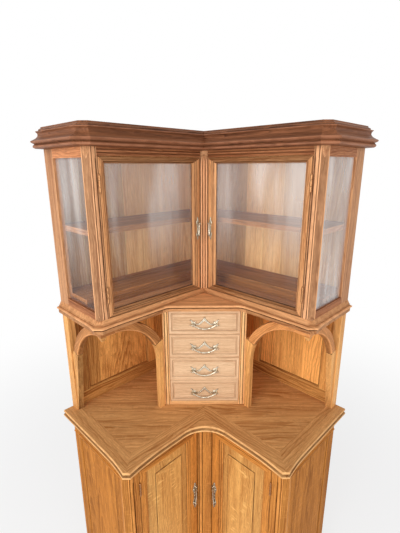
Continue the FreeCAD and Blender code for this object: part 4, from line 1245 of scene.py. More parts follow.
@dataclass
class Counter(Piece):
    """Moulded border with the rounded V and a planked field."""

    side_u: float = 809.0
    front_w: float = 441.0
    flare: Pair = (9.0, 12.0)
    flare_lengths: Pair = (115.0, 160.0)
    facet: float = 23.0
    turn: int = 9
    border: float = 62.0
    v_radius: float = 112.0
    edge: Profile = (
        (0, 0), (2, 2.2), (5, 3), (8, 2.2), (10, -1), (12, -4), (14, -4), (16, -1.5), (18, 0.4), (21, 1),
        (24, 0.2), (26, -2))
    # Painted highlights on the two beads of the edge, painted shade in the cove between them.
    zones: Zones = ((2, 7, -1), (18, 24.5, -1), (8, 17, 0.55))
    widths: tuple[float, ...] = (118, 96, 124, 104, 88, 120, 98, 112, 104)
    path: list[Pair] = field(init=False)

    def __post_init__(self) -> None:
        """Draw the outline of a wing."""
        self.path = flared_corner(self.side_u, self.front_w, self.flare, self.flare_lengths, self.facet)

    def corner(self) -> Pair:
        """Inner corner of the border."""
        u, w = midway(self.path[self.turn], self.path[self.turn + 1])
        inner = self.side_u - self.border
        return (inner, w - (u - inner))

    def build(self) -> None:
        """Make border and field."""
        work = Joinery("counter_border_look")
        dense = smooth_profile(self.edge, 2)
        rows, dark = raised(dense, LEVEL.counter), zone_shades(dense, self.zones)
        inner, split = self.corner(), self.turn + 1
        for side in Side:
            side_rings, front_rings = [], []
            for z, out in rows:
                outer = grow(self.path, out)
                half = midway(outer[self.turn], outer[split])
                plan = [(inner[0], 0.0)] + outer[:split] + [half, inner]
                side_rings.append(PLAN.ring(side, plan, z))
                plan = [half] + outer[split:] + [(inner[1], inner[1]), inner]
                front_rings.append(PLAN.ring(side, plan, z))
            for rings, run in ((side_rings, PLAN.out(side)), (front_rings, PLAN.along(side))):
                work.add(rings, self.mill.cut(run, UP, tone=-0.1, even=True), 0.0, dark)
        centre = self.front_w + self.v_radius
        arc = turned_arc((centre, centre), self.v_radius, (90.0, 0.0), 24)
        board = self.mill.cut(ACROSS, UP, tone=-0.1, even=True)
        work.add(v_rings(self.front_w, arc, rows), board, 0.0, dark)
        self.oak(work, "oak_counter", "counter_border")
        self.build_field(inner)

    def build_field(self, inner: Pair) -> None:
        """Boards that run across the cabinet, cut to the border."""
        work = Joinery("counter_field_look")
        plan = [(0.0, 0.0), (inner[0], 0.0), inner, (inner[1], inner[1])]
        near = 0.0
        for width in self.widths:
            board = self.mill.cut(ACROSS, UP, Cut.PLAIN)
            board.centre = PLAN.mid(0.0, near + width / 2.0, LEVEL.top)
            strip = clip(clip(plan, near, 1.0), near + width, -1.0)
            if len(strip) > 2:
                for side in Side:
                    self.prism(work, side, strip, (LEVEL.counter, LEVEL.top), board, 0.15)
            near += width
        self.oak(work, "oak_counter", "counter_field")


def midway(a: Pair, b: Pair) -> Pair:
    """Point halfway between two points."""
    return ((a[0] + b[0]) / 2.0, (a[1] + b[1]) / 2.0)


def clip(plan: Outline, d: float, sign: float) -> list[Pair]:
    """Part of a plan polygon with sign * (distance from the room corner - d) above zero."""
    kept: list[Pair] = []
    values = [sign * ((u + w) / ROOT2 - d) for u, w in plan]
    for i, (p, a) in enumerate(zip(plan, values)):
        q, b = plan[(i + 1) % len(plan)], values[(i + 1) % len(plan)]
        if a >= 0.0:
            kept.append(p)
        if a * b < 0.0:
            t = a / (a - b)
            kept.append((p[0] + t * (q[0] - p[0]), p[1] + t * (q[1] - p[1])))
    return kept


def v_rings(front_w: float, rows: Sequence[tuple[Pair, Pair]], profile: Profile) -> list[list[Vector]]:
    """Rings of the solid that fills the V up to a curved line."""
    rings = []
    for z, out in profile:
        plan = [(front_w + out, front_w + out)]
        plan += [(u + out * nu, w + out * nw) for (u, w), (nu, nw) in rows]
        rings.append(PLAN.ring(Side.RIGHT, plan, z))
    return rings


@dataclass(frozen=True)
class BlockSize:
    """Sizes of the drawer block in millimetres."""

    front: float = 539.0
    back: float = 200.0
    back_thick: float = 12.0
    inner: float = 140.5
    outer: float = 163.0
    post_depth: float = 24.0
    bottom: float = 15.5
    drawer_z: tuple[float, ...] = (1192, 1090, 988, 886)
    height: float = 96.0


BLOCK = BlockSize()


@dataclass
class DrawerBlock(Piece):
    """Case of the drawers with beaded posts."""

    bead: Pair = (10.5, 4.0)
    divider: Pair = (-5.5, -0.5)
    divider_back: float = 4.0

    def build(self) -> None:
        """Make case, dividers and posts."""
        work = Joinery("drawer_case_look")
        x, inside = BLOCK.inner, BLOCK.back + BLOCK.back_thick
        back, zs = BLOCK.front - BLOCK.post_depth, (LEVEL.top, LEVEL.case_base)
        flat = self.mill.cut(ACROSS, FRONT)
        self.mid_box(work, (-x, x), (inside, BLOCK.front), (zs[0], zs[0] + BLOCK.bottom), flat, 1.2)
        self.mid_box(work, (-x, x), (BLOCK.back, inside), zs, self.mill.cut(UP, FRONT))
        for xs in ((-x - BOARD, -x), (x, x + BOARD)):
            cheek = self.mill.cut(UP, ACROSS, Cut.PLAIN)
            self.mid_box(work, xs, (BLOCK.back, back), zs, cheek)
        self.oak(work, "oak_block", "drawer_case")
        work = Joinery("drawer_dividers_look")
        for low in BLOCK.drawer_z[:3]:
            rail = self.mill.cut(ACROSS, FRONT, tone=0.3)
            self.mid_box(work, (-x, x), (inside, BLOCK.front - self.divider_back),
                         (low + self.divider[0], low + self.divider[1]), rail, 0.5)
        self.oak(work, "oak_block", "drawer_dividers", look="oak_drawer")
        work = Joinery("block_posts_look")
        plans = beaded_plan(((x, back), (x, BLOCK.front)), (x + self.bead[0], self.bead[1]),
                            BLOCK.front, ((BLOCK.outer, BLOCK.front), (BLOCK.outer, back)))
        for sign in (-1.0, 1.0):
            timber = self.mill.cut(UP, FRONT, tone=0.4, even=True)
            self.post(work, partial(PLAN.mirrored, sign), plans, zs, timber, 12.0)
        self.oak(work, "oak_block", "block_posts")


@dataclass
class Drawer(Piece):
    """Sliding drawer with a moulded front, counted from the top."""

    index: int
    thick: float = 20.0
    moulding: float = 17.0
    rows: Profile = (
        (0, 17), (0.7, 18.6), (2.5, 20), (8, 20), (9.6, 19.2), (10.5, 18), (12, 15.5), (14, 15.5),
        (15.5, 18.5), (16.2, 19.2), (17, 19.5))
    # Painted shade in the quirks of the drawer front's moulding, painted highlights on its rounds.
    shades: Shades = (0.3, 0, -0.4, -0.2, 0, 0.15, 0.25, 0.28, 0.1, -0.3, 0, 0)
    field_lift: float = 19.5
    front_gap: float = 1.0
    box_gap: float = 0.5
    box_depth: float = 300.0
    box_height: float = 80.0
    box_floor: float = 6.0
    box_side: float = 12.0
    name: str = field(init=False)
    low: float = field(init=False)

    def __post_init__(self) -> None:
        """Name the drawer and find its lower edge."""
        self.name = f"drawer_{self.index + 1}"
        self.low = BLOCK.drawer_z[self.index]

    def build(self) -> None:
        """Make front and box."""
        x, z, back = BLOCK.inner - self.front_gap, self.low, BLOCK.front - self.thick
        full, edge = rect(-x, x, z, z + BLOCK.height), self.moulding
        profile = [(by / edge, back + lift) for by, lift in self.rows]
        profile = [(0.0, back)] + profile + [(1.0, back)]
        work = Joinery(self.name + "_front_look")
        boards = [self.mill.cut(run, FRONT, even=True) for run in (ACROSS, UP) * 2]
        self.frame(work, PLAN.mid, full, inset(full, edge), profile, boards, self.shades)
        middle = self.mill.cut(ACROSS, FRONT, even=True)
        self.mid_box(work, (edge - x, x - edge), (back, back + self.field_lift),
                     (z + edge, z + BLOCK.height - edge), middle, 0.0)
        self.oak(work, "oak_drawer", self.name + "_front", body=self.name)
        self.build_box(x - self.box_gap, z, back)

    def build_box(self, x: float, z: float, front: float) -> None:
        """Sides, back and floor behind the front."""
        work = Joinery(self.name + "_box_look")
        back, wall = front - self.box_depth, self.box_side
        zs = (z + self.box_floor, z + self.box_height)
        self.mid_box(work, (-x, x), (back, front), (z, zs[0]), self.mill.cut(ACROSS, UP))
        self.mid_box(work, (-x, x), (back, back + wall), zs, self.mill.cut(ACROSS, FRONT))
        for xs in ((-x, wall - x), (x - wall, x)):
            board = self.mill.cut(FRONT, ACROSS)
            self.mid_box(work, xs, (back + wall, front), zs, board)
        self.oak(work, "oak_inner", self.name + "_box", body=self.name)


@dataclass(frozen=True)
class ArchSize:
    """Arches under the display case in millimetres, joints of the front in degrees."""

    face: float = 272.0
    thick: float = 22.0
    band: float = 22.0
    wide: float = 34.0
    front_joint: float = 24.0
    front_centre: float = 710.0
    front_radius: float = 186.0
    jamb: float = 66.0
    side_centre: float = 268.0
    side_radius: float = 194.0
    side_face: float = 765.0
    side_joint: float = 66.0
    post_width: float = 38.0
    post_thick: float = 28.0


ARCH = ArchSize()


@dataclass
class Arches(Piece):
    """Rounded rails of the niches, outer posts and pendants."""

    mould: Profile = (
        (0, 0), (0, 0.78), (0.06, 0.92), (0.16, 1), (0.84, 1), (0.94, 0.93), (1, 0.78), (1, 0))
    # Painted shade on the soffit and the edges of the bow, painted highlights on its rounded arrises.
    shades: Shades = (0.5, 0.2, -0.9, 0, -0.5, 0.5, 0.9, 0)
    pendant: Profile = ((15, 6), (12, 5.2), (7, 3), (3, 1.4), (0, 0))
    start_angle: float = 179.5
    # Painted shade on the inner faces of the side haunches, darker on the left wing.
    inner_shade: ClassVar[dict[Side, float]] = {Side.LEFT: 0.7, Side.RIGHT: 0.15}
    bow_tone: ClassVar[dict[Side, float]] = {Side.LEFT: -1.0, Side.RIGHT: 0.7}

    def build(self) -> None:
        """Make both arches and the outer posts."""
        for side in Side:
            node = f"arch_{side.name.lower()}"
            work, bows = Joinery(node + "_look"), Joinery(node + "_bows_look")
            self.build_front(work, bows, side)
            self.build_side(work, bows, side)
            self.build_pendant(work, side)
            self.oak(work, "oak_case", node, look="oak_arch")
            self.oak(bows, "oak_case", node, look="oak_bow")
        work = Joinery("outer_posts_look")
        for side in Side:
            board = self.mill.cut(UP, PLAN.along(side), tone=1.0)
            self.wing_box(work, side, (CASE_U - ARCH.post_thick, CASE_U),
                          (0.0, ARCH.post_width), (LEVEL.top, LEVEL.case_base), board, 1.2)
        self.oak(work, "oak_case", "outer_posts", look="oak_arch")

    def bow(self, work: Joinery, put: Placing, centre: Pair, radius: float, angles: Pair,
            depths: Pair, timber: Timber, keep: tuple[Vector, Vector] | None = None) -> None:
        """Curved board under the band of a rail.

        Args:
            work: Object.
            put: Placing function of (across, depth, height).
            centre: Middle of the arc.
            radius: Radius of the lower edge.
            angles: Both ends in degrees.
            depths: Back and front.
            timber: Grain frame.
            keep: Point and normal of a plane that cuts the board.
        """
        rings = []
        for degrees in divide(angles, 28):
            angle = math.radians(degrees)
            ring = []
            for across, deep in self.mould:
                r = radius + across * ARCH.wide
                top = LEVEL.case_base - 0.5 * (1.0 - across)
                ring.append(put(centre[0] + r * math.cos(angle), depths[0] + deep * (depths[1] - depths[0]),
                                min(centre[1] + r * math.sin(angle), top)))
            rings.append(ring)
        work.add(rings, timber, 0.5, lines=self.shades, keep=keep)

    def build_front(self, work: Joinery, bows: Joinery, side: Side) -> None:
        """Jamb, quarter round and crown of the front rail."""
        put, face = partial(PLAN.vec, side), PLAN.out(side)
        low = LEVEL.case_base - ARCH.band
        middle, radius = ARCH.front_centre, ARCH.front_radius
        depths, spring, jamb = (ARCH.face - ARCH.thick, ARCH.face), low - radius, middle - radius
        keep = (Vector((side.value * BLOCK.outer * MM, 0.0, 0.0)), Vector((side.value, 0.0, 0.0)))
        joint, outer = math.radians(ARCH.front_joint), radius + ARCH.wide
        shape = [(jamb - ARCH.jamb, LEVEL.top), (jamb, LEVEL.top)]
        for a in divide((0.0, joint), 8):
            shape.append((middle - radius * math.cos(a), spring + radius * math.sin(a)))
        shape.append((middle - outer * math.cos(joint), spring + outer * math.sin(joint)))
        shape.append((jamb - ARCH.jamb, spring + outer * math.sin(joint)))
        rings = [[put(u, w, z) for u, z in shape] for w in depths]
        # Painted shade on the jamb's inner curve and a dark painted line at its joint with the bow.
        painted_soffit_shade = [0.0] + [0.1] * 9 + [0.9]
        board = self.mill.cut(UP, face, tone=0.6, even=True)
        work.add(rings, board, 0.8, lines=painted_soffit_shade, keep=keep)
        bend = self.mill.cut(PLAN.along(side) + UP, face, tone=self.bow_tone[side], even=True)
        angles = (self.start_angle - ARCH.front_joint, 90.0)
        self.bow(bows, put, (middle, spring), radius, angles, depths, bend, keep)
        rings = [[put(u, depths[0] + deep * ARCH.thick, low + across * ARCH.band)
                  for across, deep in self.mould] for u in (middle, ARCH.side_face)]
        rail = self.mill.cut(PLAN.along(side), face, tone=self.bow_tone[side], even=True)
        bows.add(rings, rail, 0.5, lines=self.shades)

    def build_side(self, work: Joinery, bows: Joinery, side: Side) -> None:
        """Haunch and curve of the side rail."""
        put, face = partial(PLAN.end_vec, side), PLAN.along(side)
        middle, radius = ARCH.side_centre, ARCH.side_radius
        spring = LEVEL.case_base - ARCH.band - radius
        depths = (ARCH.side_face - ARCH.thick, ARCH.side_face)
        outer = radius + ARCH.wide
        joint = math.asin(ARCH.side_joint / outer)
        reach = math.acos((middle - ARCH.face + ARCH.thick) / radius)
        foot = ARCH.post_width + 1.2
        shape = [(foot, LEVEL.top), (ARCH.post_width + 3.0, LEVEL.top)]
        for turn in divide((0.0, joint), 6):
            a = math.pi - turn
            shape.append((middle + radius * math.cos(a), spring + radius * math.sin(a)))
        shape.append((middle - outer * math.cos(joint), spring + ARCH.side_joint))
        shape.append((foot, spring + ARCH.side_joint - ARCH.band))
        # Painted shade on the haunch's inner curve, at its joint with the bow and along the gap to the
        # outer post.
        painted_soffit_shade = [0.0] + [self.inner_shade[side]] * 7 + [0.9, 0.0, 0.9]
        rings = [[put(w, u, z) for w, z in shape] for u in depths]
        work.add(rings, self.mill.cut(UP, face, tone=0.6, even=True), 1.0, lines=painted_soffit_shade)
        tone = 0.5 * self.bow_tone[side]
        bend = self.mill.cut(PLAN.out(side) + UP, face, tone=tone, even=True)
        angles = (self.start_angle - math.degrees(joint), 180.0 - math.degrees(reach))
        self.bow(bows, put, (middle, spring), radius, angles, depths, bend)

    def build_pendant(self, work: Joinery, side: Side) -> None:
        """Small turned-in tip under the corner of the arches."""
        top = LEVEL.case_base - ARCH.band
        rings = []
        for fall, cut in self.pendant:
            u0, u1 = ARCH.side_face - ARCH.thick + cut, ARCH.side_face - cut
            w0, w1 = ARCH.face - ARCH.thick + cut, ARCH.face - cut
            rings.append(PLAN.ring(side, rect(u0, u1, w0, w1), top - fall))
        work.add(rings, self.mill.cut(UP, PLAN.along(side)), 0.6)


@dataclass(frozen=True)
class SeenBoard:
    """Board seen in a niche: span along the wall, heart, shade and slope of its figure."""

    us: Pair
    heart: Pair
    shade: float
    slope: float = 0.045


@dataclass
class NicheBacks(Piece):
    """Framed boards behind the niches."""

    thick: float = 12.0
    face: float = 20.0
    rail: float = 54.0
    stile: float = 42.0
    inner_stile: Pair = (350.0, 390.0)
    hidden_edges: Pair = (178.0, 372.0)
    last_edge: float = 706.0
    bead: Profile = ((0, 12), (0, 18.5), (0.25, 19.4), (0.5, 19), (0.75, 16), (1, 14), (1, 12))
    # Painted shade at the sides of the bead around the panel, lighter on its round.
    bead_shades: Shades = (0.9, 0.3, 0.2, 0.4, 0.5, 0.9)
    bead_width: float = 8.0
    # Painted light: the right niche's boards are lighter and the left's darker, as the right niche faces
    # the light; the left niche's outer stile gets painted shade.
    tones: ClassVar[dict[Side, float]] = {Side.LEFT: -0.6, Side.RIGHT: 0.4}
    stile_painted_shade: ClassVar[dict[Side, float]] = {Side.LEFT: -1.8, Side.RIGHT: 0.0}
    seen_boards: ClassVar[dict[Side, tuple[SeenBoard, ...]]] = {
        Side.LEFT: (SeenBoard((372.0, 640.0), (0.02, 0.055), 0.4, 0.16),
                    SeenBoard((640.0, 706.0), (0.2, 0.08), -0.7)),
        Side.RIGHT: (SeenBoard((372.0, 466.0), (0.24, 0.09), 0.4),
                     SeenBoard((466.0, 610.0), (-0.22, 0.07), -0.3),
                     SeenBoard((610.0, 706.0), (0.2, 0.1), 0.6)), }

    def build(self) -> None:
        """Make boards, rails and stiles."""
        work = Joinery("niche_backs_look")
        for side in Side:
            self.build_boards(work, side)
            self.build_frame(work, side)
        self.oak(work, "oak_inner", "niche_backs")

    def build_boards(self, work: Joinery, side: Side) -> None:
        """Hidden boards behind the drawers, seen boards and the last one."""
        face, tone, ws = PLAN.out(side), self.tones[side], (0.0, self.thick)
        zs, (first, second) = (LEVEL.top, LEVEL.case_base), self.hidden_edges
        start = 0.0 if side is Side.RIGHT else self.thick
        for us in ((start, first), (first, second)):
            board = self.mill.cut(UP, face, tone=tone)
            self.wing_box(work, side, us, ws, zs, board, 0.2)
        log = self.mill.cut(UP, face, Cut.PLAIN, tone)
        for seen in self.seen_boards[side]:
            board = replace(log, heart=seen.heart, slope=seen.slope, tone=log.tone + seen.shade)
            self.wing_box(work, side, seen.us, ws, zs, board, 0.2)
        board = self.mill.cut(UP, face, tone=tone)
        last = (self.last_edge, CASE_U - ARCH.post_thick)
        self.wing_box(work, side, last, ws, zs, board, 0.2)

    def build_frame(self, work: Joinery, side: Side) -> None:
        """Rails, stiles and the bead inside them."""
        face, ws, end = PLAN.out(side), (self.thick, self.face), CASE_U - ARCH.post_thick
        z0, z1 = LEVEL.top, LEVEL.case_base
        zs = (z0 + self.rail, z1 - self.rail)
        for ends in ((z0, zs[0]), (zs[1], z1)):
            rail = self.mill.cut(PLAN.along(side), face, tone=-0.9)
            self.wing_box(work, side, (self.inner_stile[0], end), ws, ends, rail, 1.0)
        outer_stile = (end - self.stile, end)
        for us, tone in ((self.inner_stile, 0.1), (outer_stile, self.stile_painted_shade[side])):
            stile = self.mill.cut(UP, face, tone=tone)
            self.wing_box(work, side, us, ws, zs, stile, 1.0)
        hole = rect(self.inner_stile[1], outer_stile[0], *zs)
        boards = [self.mill.cut(run, face, tone=-0.5) for run in (PLAN.along(side), UP) * 2]
        self.frame(work, partial(PLAN.vec, side), hole, inset(hole, self.bead_width),
                   self.bead, boards, self.bead_shades)


@dataclass
class DisplayCase(Piece):
    """Fixed pieces of the glazed upper storey."""

    base_rows: Profile = (
        (0, 12), (12, 12.5), (14, 9), (16, 9), (17, 16), (19, 18.5), (22, 18.5), (24, 16), (25, 13))
    # Painted shade on the lower part and in the dark line under the nose, painted highlight on the bead.
    base_zones: Zones = ((0, 12, 0.35), (12, 17, 1), (17, 26, -0.8))
    base_flare: Pair = (4.0, 3.0)
    base_round: float = 60.0
    base_facet: float = 16.0
    floor_rows: Profile = ((0, 6), (1, 9), (2.5, 10), (4, 9), (5, 7), (18, 0))
    corner_bead: Pair = (28.5, 5.0)
    # Length and shade of the top and the low tongue; the shade carries on the facet's painted shade.
    tongues: Profile = ((34, 0.1), (13, 0.45))
    flute_rows: Profile = (
        (-1, 0), (-0.93, 1), (-0.62, 1), (-0.54, 0.72), (-0.36, 0.62), (-0.24, 0.78), (-0.14, 1),
        (0.14, 1), (0.24, 0.78), (0.36, 0.62), (0.54, 0.72), (0.62, 1), (0.93, 1), (1, 0))
    # Painted shade in the flutes, painted highlights on the ridges beside them.
    flute_shades: Shades = (0.2, -0.5, 0, 0.7, 0.7, 0, -0.5, 0, 0.7, 0.7, 0, -0.5, 0.2)
    flute_tip: Zones = (
        (0, 1, 1), (0.93, 1, 1), (0.955, 0.92, 0.98), (0.975, 0.74, 0.9), (0.99, 0.5, 0.75), (1, 0.2, 0.5))
    frieze: Profile = (
        (0, BOARD), (CASE_FRIEZE, BOARD), (CASE_FRIEZE, 1.6), (23.4, 0), (18, 0), (17, 1.8), (14.5, 1.8),
        (13.5, 0), (8.5, 0), (7.5, 1.6), (5.5, 1.6), (4.5, 0), (0, 0))
    # Painted shade in the frieze's grooves, painted highlights on its edges.
    frieze_shades: Shades = (0, 0.4, -0.4, 0, 0.5, 0.6, 0, -0.4, 0.5, 0.6, 0, -0.2, 0)
    back_post: float = 63.0
    side_rails: Pair = (25.0, 30.0)
    pane: Pair = (757.0, 761.0)
    back_room: float = 8.0
    shelf_front: float = 227.0
    shelf_zs: Pair = (1607.0, 1625.0)
    lips: Pair = (745.0, 750.0)
    step: Pair = (149.0, 165.0)
    step_zs: Pair = (1359.0, 1375.0)
    top_thick: float = 12.0

    def build(self) -> None:
        """Make mouldings, posts, rails, glass and inner boards."""
        self.build_base()
        self.build_posts()
        self.build_rails()
        self.build_inside()

    def build_base(self) -> None:
        """Base moulding with the bridge over the drawers, and the floor board."""
        dense, r = smooth_profile(self.base_rows, 2), self.base_round
        profile, dark = raised(dense, LEVEL.case_base), zone_shades(dense, self.base_zones)
        path = flared_corner(CASE_U, CASE_W, self.base_flare, (r, r), self.base_facet)
        work = Joinery("case_base_look")
        for side in Side:
            board = self.mill.cut(PLAN.along(side), PLAN.out(side))
            self.slab(work, side, path, profile, board, dark)
        centre = (BLOCK.front * ROOT2 + (ROOT2 - 1.0) * r - CASE_W, CASE_W + r)
        arc = turned_arc(centre, r, (90.0, 45.0), 12)
        arc += [((w, u), (nw, nu)) for (u, w), (nu, nw) in reversed(arc)]
        bridge = self.mill.cut(ACROSS, FRONT, tone=0.9)
        work.add(v_rings(CASE_W, arc, profile), bridge, 0.0, dark)
        self.oak(work, "oak_case", "case_base")
        work = Joinery("case_floor_look")
        path, profile = facet_corner(CASE_U, CASE_W), raised(self.floor_rows, LEVEL.case_floor)
        for side in Side:
            board = self.mill.cut(PLAN.along(side), UP)
            # Painted shade at the foot and under the nosing of the floor board's edge.
            self.slab(work, side, path, profile, board, (0.5, 0.0, 0.0, 0.3))
        self.oak(work, "oak_case", "case_floor")

    def build_posts(self) -> None:
        """Front posts, centre post and back posts."""
        zs, back, (v_edge, edge) = (LEVEL.case, LEVEL.cornice), CASE_W - BOARD, CASE_OPENING
        plans = beaded_plan(((edge, back), (edge, CASE_W)),
                            (CASE_U - self.corner_bead[0], self.corner_bead[1]), CASE_W,
                            cut_corner(CASE_U, CASE_W, back))
        (fall, top_shade), (rise, low_shade) = self.tongues
        work = Joinery("case_front_posts_look")
        for side in Side:
            timber = self.mill.cut(UP, PLAN.out(side), even=True)
            self.post(work, partial(PLAN.vec, side), plans, zs, timber, 26.0, 0.5)
            self.build_tongue(work, side, (zs[1], zs[1] - fall), timber, top_shade)
            self.build_tongue(work, side, (zs[0], zs[0] + rise), timber, low_shade)
        self.oak(work, "oak_case", "case_front_posts", look="oak_post")
        half, face_d = in_block(v_edge, CASE_W)
        wing_x, wing_d = in_block(v_edge, back)
        core, wing_d = face_d - 12.0, wing_d - 1.0
        plan = ((0.0, back * ROOT2), (-wing_x, wing_d), (-half, core), (half, core), (wing_x, wing_d))
        work = Joinery("case_centre_post_look")
        timber = self.mill.cut(UP, FRONT, tone=1.0, even=True)
        work.add([[PLAN.mid(x, d, z) for x, d in plan] for z in zs], timber, 0.4)
        self.build_flutes(work, half, (core, face_d), (zs[0], zs[1] - 14.0), timber)
        self.oak(work, "oak_case", "case_centre_post", look="oak_post")
        work = Joinery("case_back_posts_look")
        for side in Side:
            board = self.mill.cut(UP, PLAN.along(side), tone=-0.3, even=True)
            self.wing_box(work, side, (CASE_U - BOARD, CASE_U), (0.0, self.back_post), zs, board, 1.0)
        self.oak(work, "oak_case", "case_back_posts", look="oak_post")

    def build_tongue(self, work: Joinery, side: Side, zs: Pair, timber: Timber, shade: float) -> None:
        """Carved stop: the corner stays square at zs[0] and runs out to a point at zs[1]."""
        reach = POST_LEG / 2.0
        mid_u, mid_w = CASE_U - reach, CASE_W - reach
        rings = []
        for t in divide((0.0, 1.0), 8):
            narrowing = 1.0 - t ** 1.6
            half = (POST_LEG * narrowing + 0.2) / 2.0
            proud = 0.86 * (1.0 - t) ** 0.7 * narrowing
            a, b = (mid_u + half, mid_w - half), (mid_u - half, mid_w + half)
            tip = (mid_u + reach * proud, mid_w + reach * proud)
            plan = ((a[0] - 1.0, a[1] - 1.0), a, tip, b, (b[0] - 1.0, b[1] - 1.0))
            rings.append(PLAN.ring(side, plan, zs[0] + (zs[1] - zs[0]) * t))
        work.add(rings, timber, 0.0, [shade] * 7)

    def build_flutes(self, work: Joinery, half: float, ds: Pair, zs: Pair, timber: Timber) -> None:
        """Front strip with two flutes that ends in a rounded tongue."""
        root, depth = ds[0] - 1.0, ds[1] - ds[0] + 1.0
        rings = []
        for rise, wide, deep in self.flute_tip:
            z = zs[0] + (zs[1] - zs[0]) * rise
            rings.append([PLAN.mid(x * half * wide, root + depth * d * deep, z)
                          for x, d in self.flute_rows])
        work.add(rings, timber, 0.0, lines=self.flute_shades)

    def build_rails(self) -> None:
        """Side rails, front frieze and side panes."""
        work = Joinery("case_rails_look")
        depth, span = (self.back_post, CASE_W - BOARD), (CASE_U - BOARD, CASE_U)
        z0, z1 = LEVEL.case + self.side_rails[0], LEVEL.cornice - self.side_rails[1]
        for side in Side:
            # Painted shade under the cornice, partly stain, darkens the right top rail; the left one stays
            # lighter.
            top_rail_shade = 0.4 if side is Side.LEFT else -1.4
            for zs, tone in (((LEVEL.case, z0), -1.2), ((z1, LEVEL.cornice), top_rail_shade)):
                rail = self.mill.cut(PLAN.out(side), PLAN.along(side), tone=tone)
                self.wing_box(work, side, span, depth, zs, rail, 1.0)
            # The front frieze is darkened by painted shade under the cornice, partly stain.
            rail = self.mill.cut(PLAN.along(side), PLAN.out(side), tone=-1.7)
            rings = [[PLAN.vec(side, u, CASE_W - back, LEVEL.cornice - fall)
                      for fall, back in self.frieze] for u in CASE_OPENING]
            work.add(rings, rail, 0.0, lines=self.frieze_shades)
        self.oak(work, "oak_case", "case_rails", look="oak_rail")
        for side, glass in ((Side.LEFT, self.shop.glass), (Side.RIGHT, self.shop.glass_with_painted_reflection)):
            work = Joinery(f"side_glass_{side.name.lower()}_look")
            pane = self.mill.cut(UP, ACROSS)
            self.wing_box(work, side, self.pane, depth, (z0, z1), pane, 0.0)
            work.finish("carcass", ("side_glass",), "glass", glass)

    def build_inside(self) -> None:
        """Shelf, display step and top board."""
        room, lips = self.back_room, self.lips
        for name, front, end, zs in (("shelf", self.shelf_front, lips[0], self.shelf_zs),
                                     ("display_step", self.step[1], lips[1], self.step_zs)):
            work = Joinery(name + "_look")
            for side in Side:
                board = self.mill.cut(PLAN.along(side), UP, Cut.PLAIN)
                self.prism(work, side, bent_board(room, front, end), zs, board, 1.5)
                if name == "display_step":
                    riser = self.mill.cut(PLAN.along(side), PLAN.out(side))
                    self.prism(work, side, bent_board(*self.step, end), (LEVEL.case, zs[0]), riser, 0.6)
            self.oak(work, "oak_inner", name, look="oak_shelf")
        # Lighter lips on the shelf's ends: a painted highlight where the edge catches the light.
        work = Joinery("shelf_lips_painted_highlight_look")
        for side in Side:
            lip = self.mill.cut(PLAN.out(side), UP)
            self.wing_box(work, side, lips, (room, self.shelf_front), self.shelf_zs, lip, 1.0)
        self.oak(work, "oak_inner", "shelf", look="oak_case")
        work = Joinery("top_board_look")
        plan = [(0.0, 0.0)] + grow(facet_corner(CASE_U, CASE_W), -BOARD)
        for side in Side:
            board = self.mill.cut(PLAN.along(side), UP, Cut.PLAIN)
            self.prism(work, side, plan, (LEVEL.cornice, LEVEL.cornice + self.top_thick), board, 0.4)
        self.oak(work, "oak_inner", "top_board")


def bent_board(back: float, front: float, end: float) -> tuple[Pair, ...]:
    """Plan of a wing's half of a board that follows both walls."""
    return ((back, back), (end, back), (end, front), (front, front))


@dataclass
class Cornice(Piece):
    """Crown moulding."""

    rows: Profile = (
        (0, 3), (0.7, 24), (2, 30), (6, 35), (9, 34.5), (12.5, 32), (14, 30), (16, 30), (18, 36), (22, 41),
        (25, 39), (28, 33), (32, 25), (37, 18.5), (43, 14.5), (49, 15.5), (54, 20.5), (56, 20.5), (58, 11),
        (62, 10), (65, 5), (67, 2), (70, 2))
    # Painted shade in the grooves, painted highlights on the arrises of the crown.
    zones: Zones = ((12, 14.5, 0.5), (56, 58.5, 0.5), (16.5, 24, -1.2), (3, 9, -1.2), (52, 56, -1.2))

    def build(self) -> None:
        """Make the mitred lengths."""
        dense = smooth_profile(self.rows, 3)
        profile, dark = raised(dense, LEVEL.cornice), zone_shades(dense, self.zones)
        work = Joinery("cornice_look")
        for side in Side:
            self.bands(work, side, facet_corner(CASE_U, CASE_W), BOARD, profile, dark)
        self.oak(work, "oak_cornice", "cornice")


@dataclass(frozen=True)
class PullSize:
    """Door pull: place on the leaf and sizes of plate and drop."""

    u: float
    z: float
    width: float
    height: float
    eye: float
    drop_len: float
    drop_width: float


BASE_PULL = PullSize(u=425.0, z=415.0, width=28.0, height=138.0, eye=30.0, drop_len=78.0, drop_width=15.0)
CASE_PULL = PullSize(u=313.0, z=1586.5, width=15.0, height=90.0, eye=20.0, drop_len=50.0, drop_width=9.0)


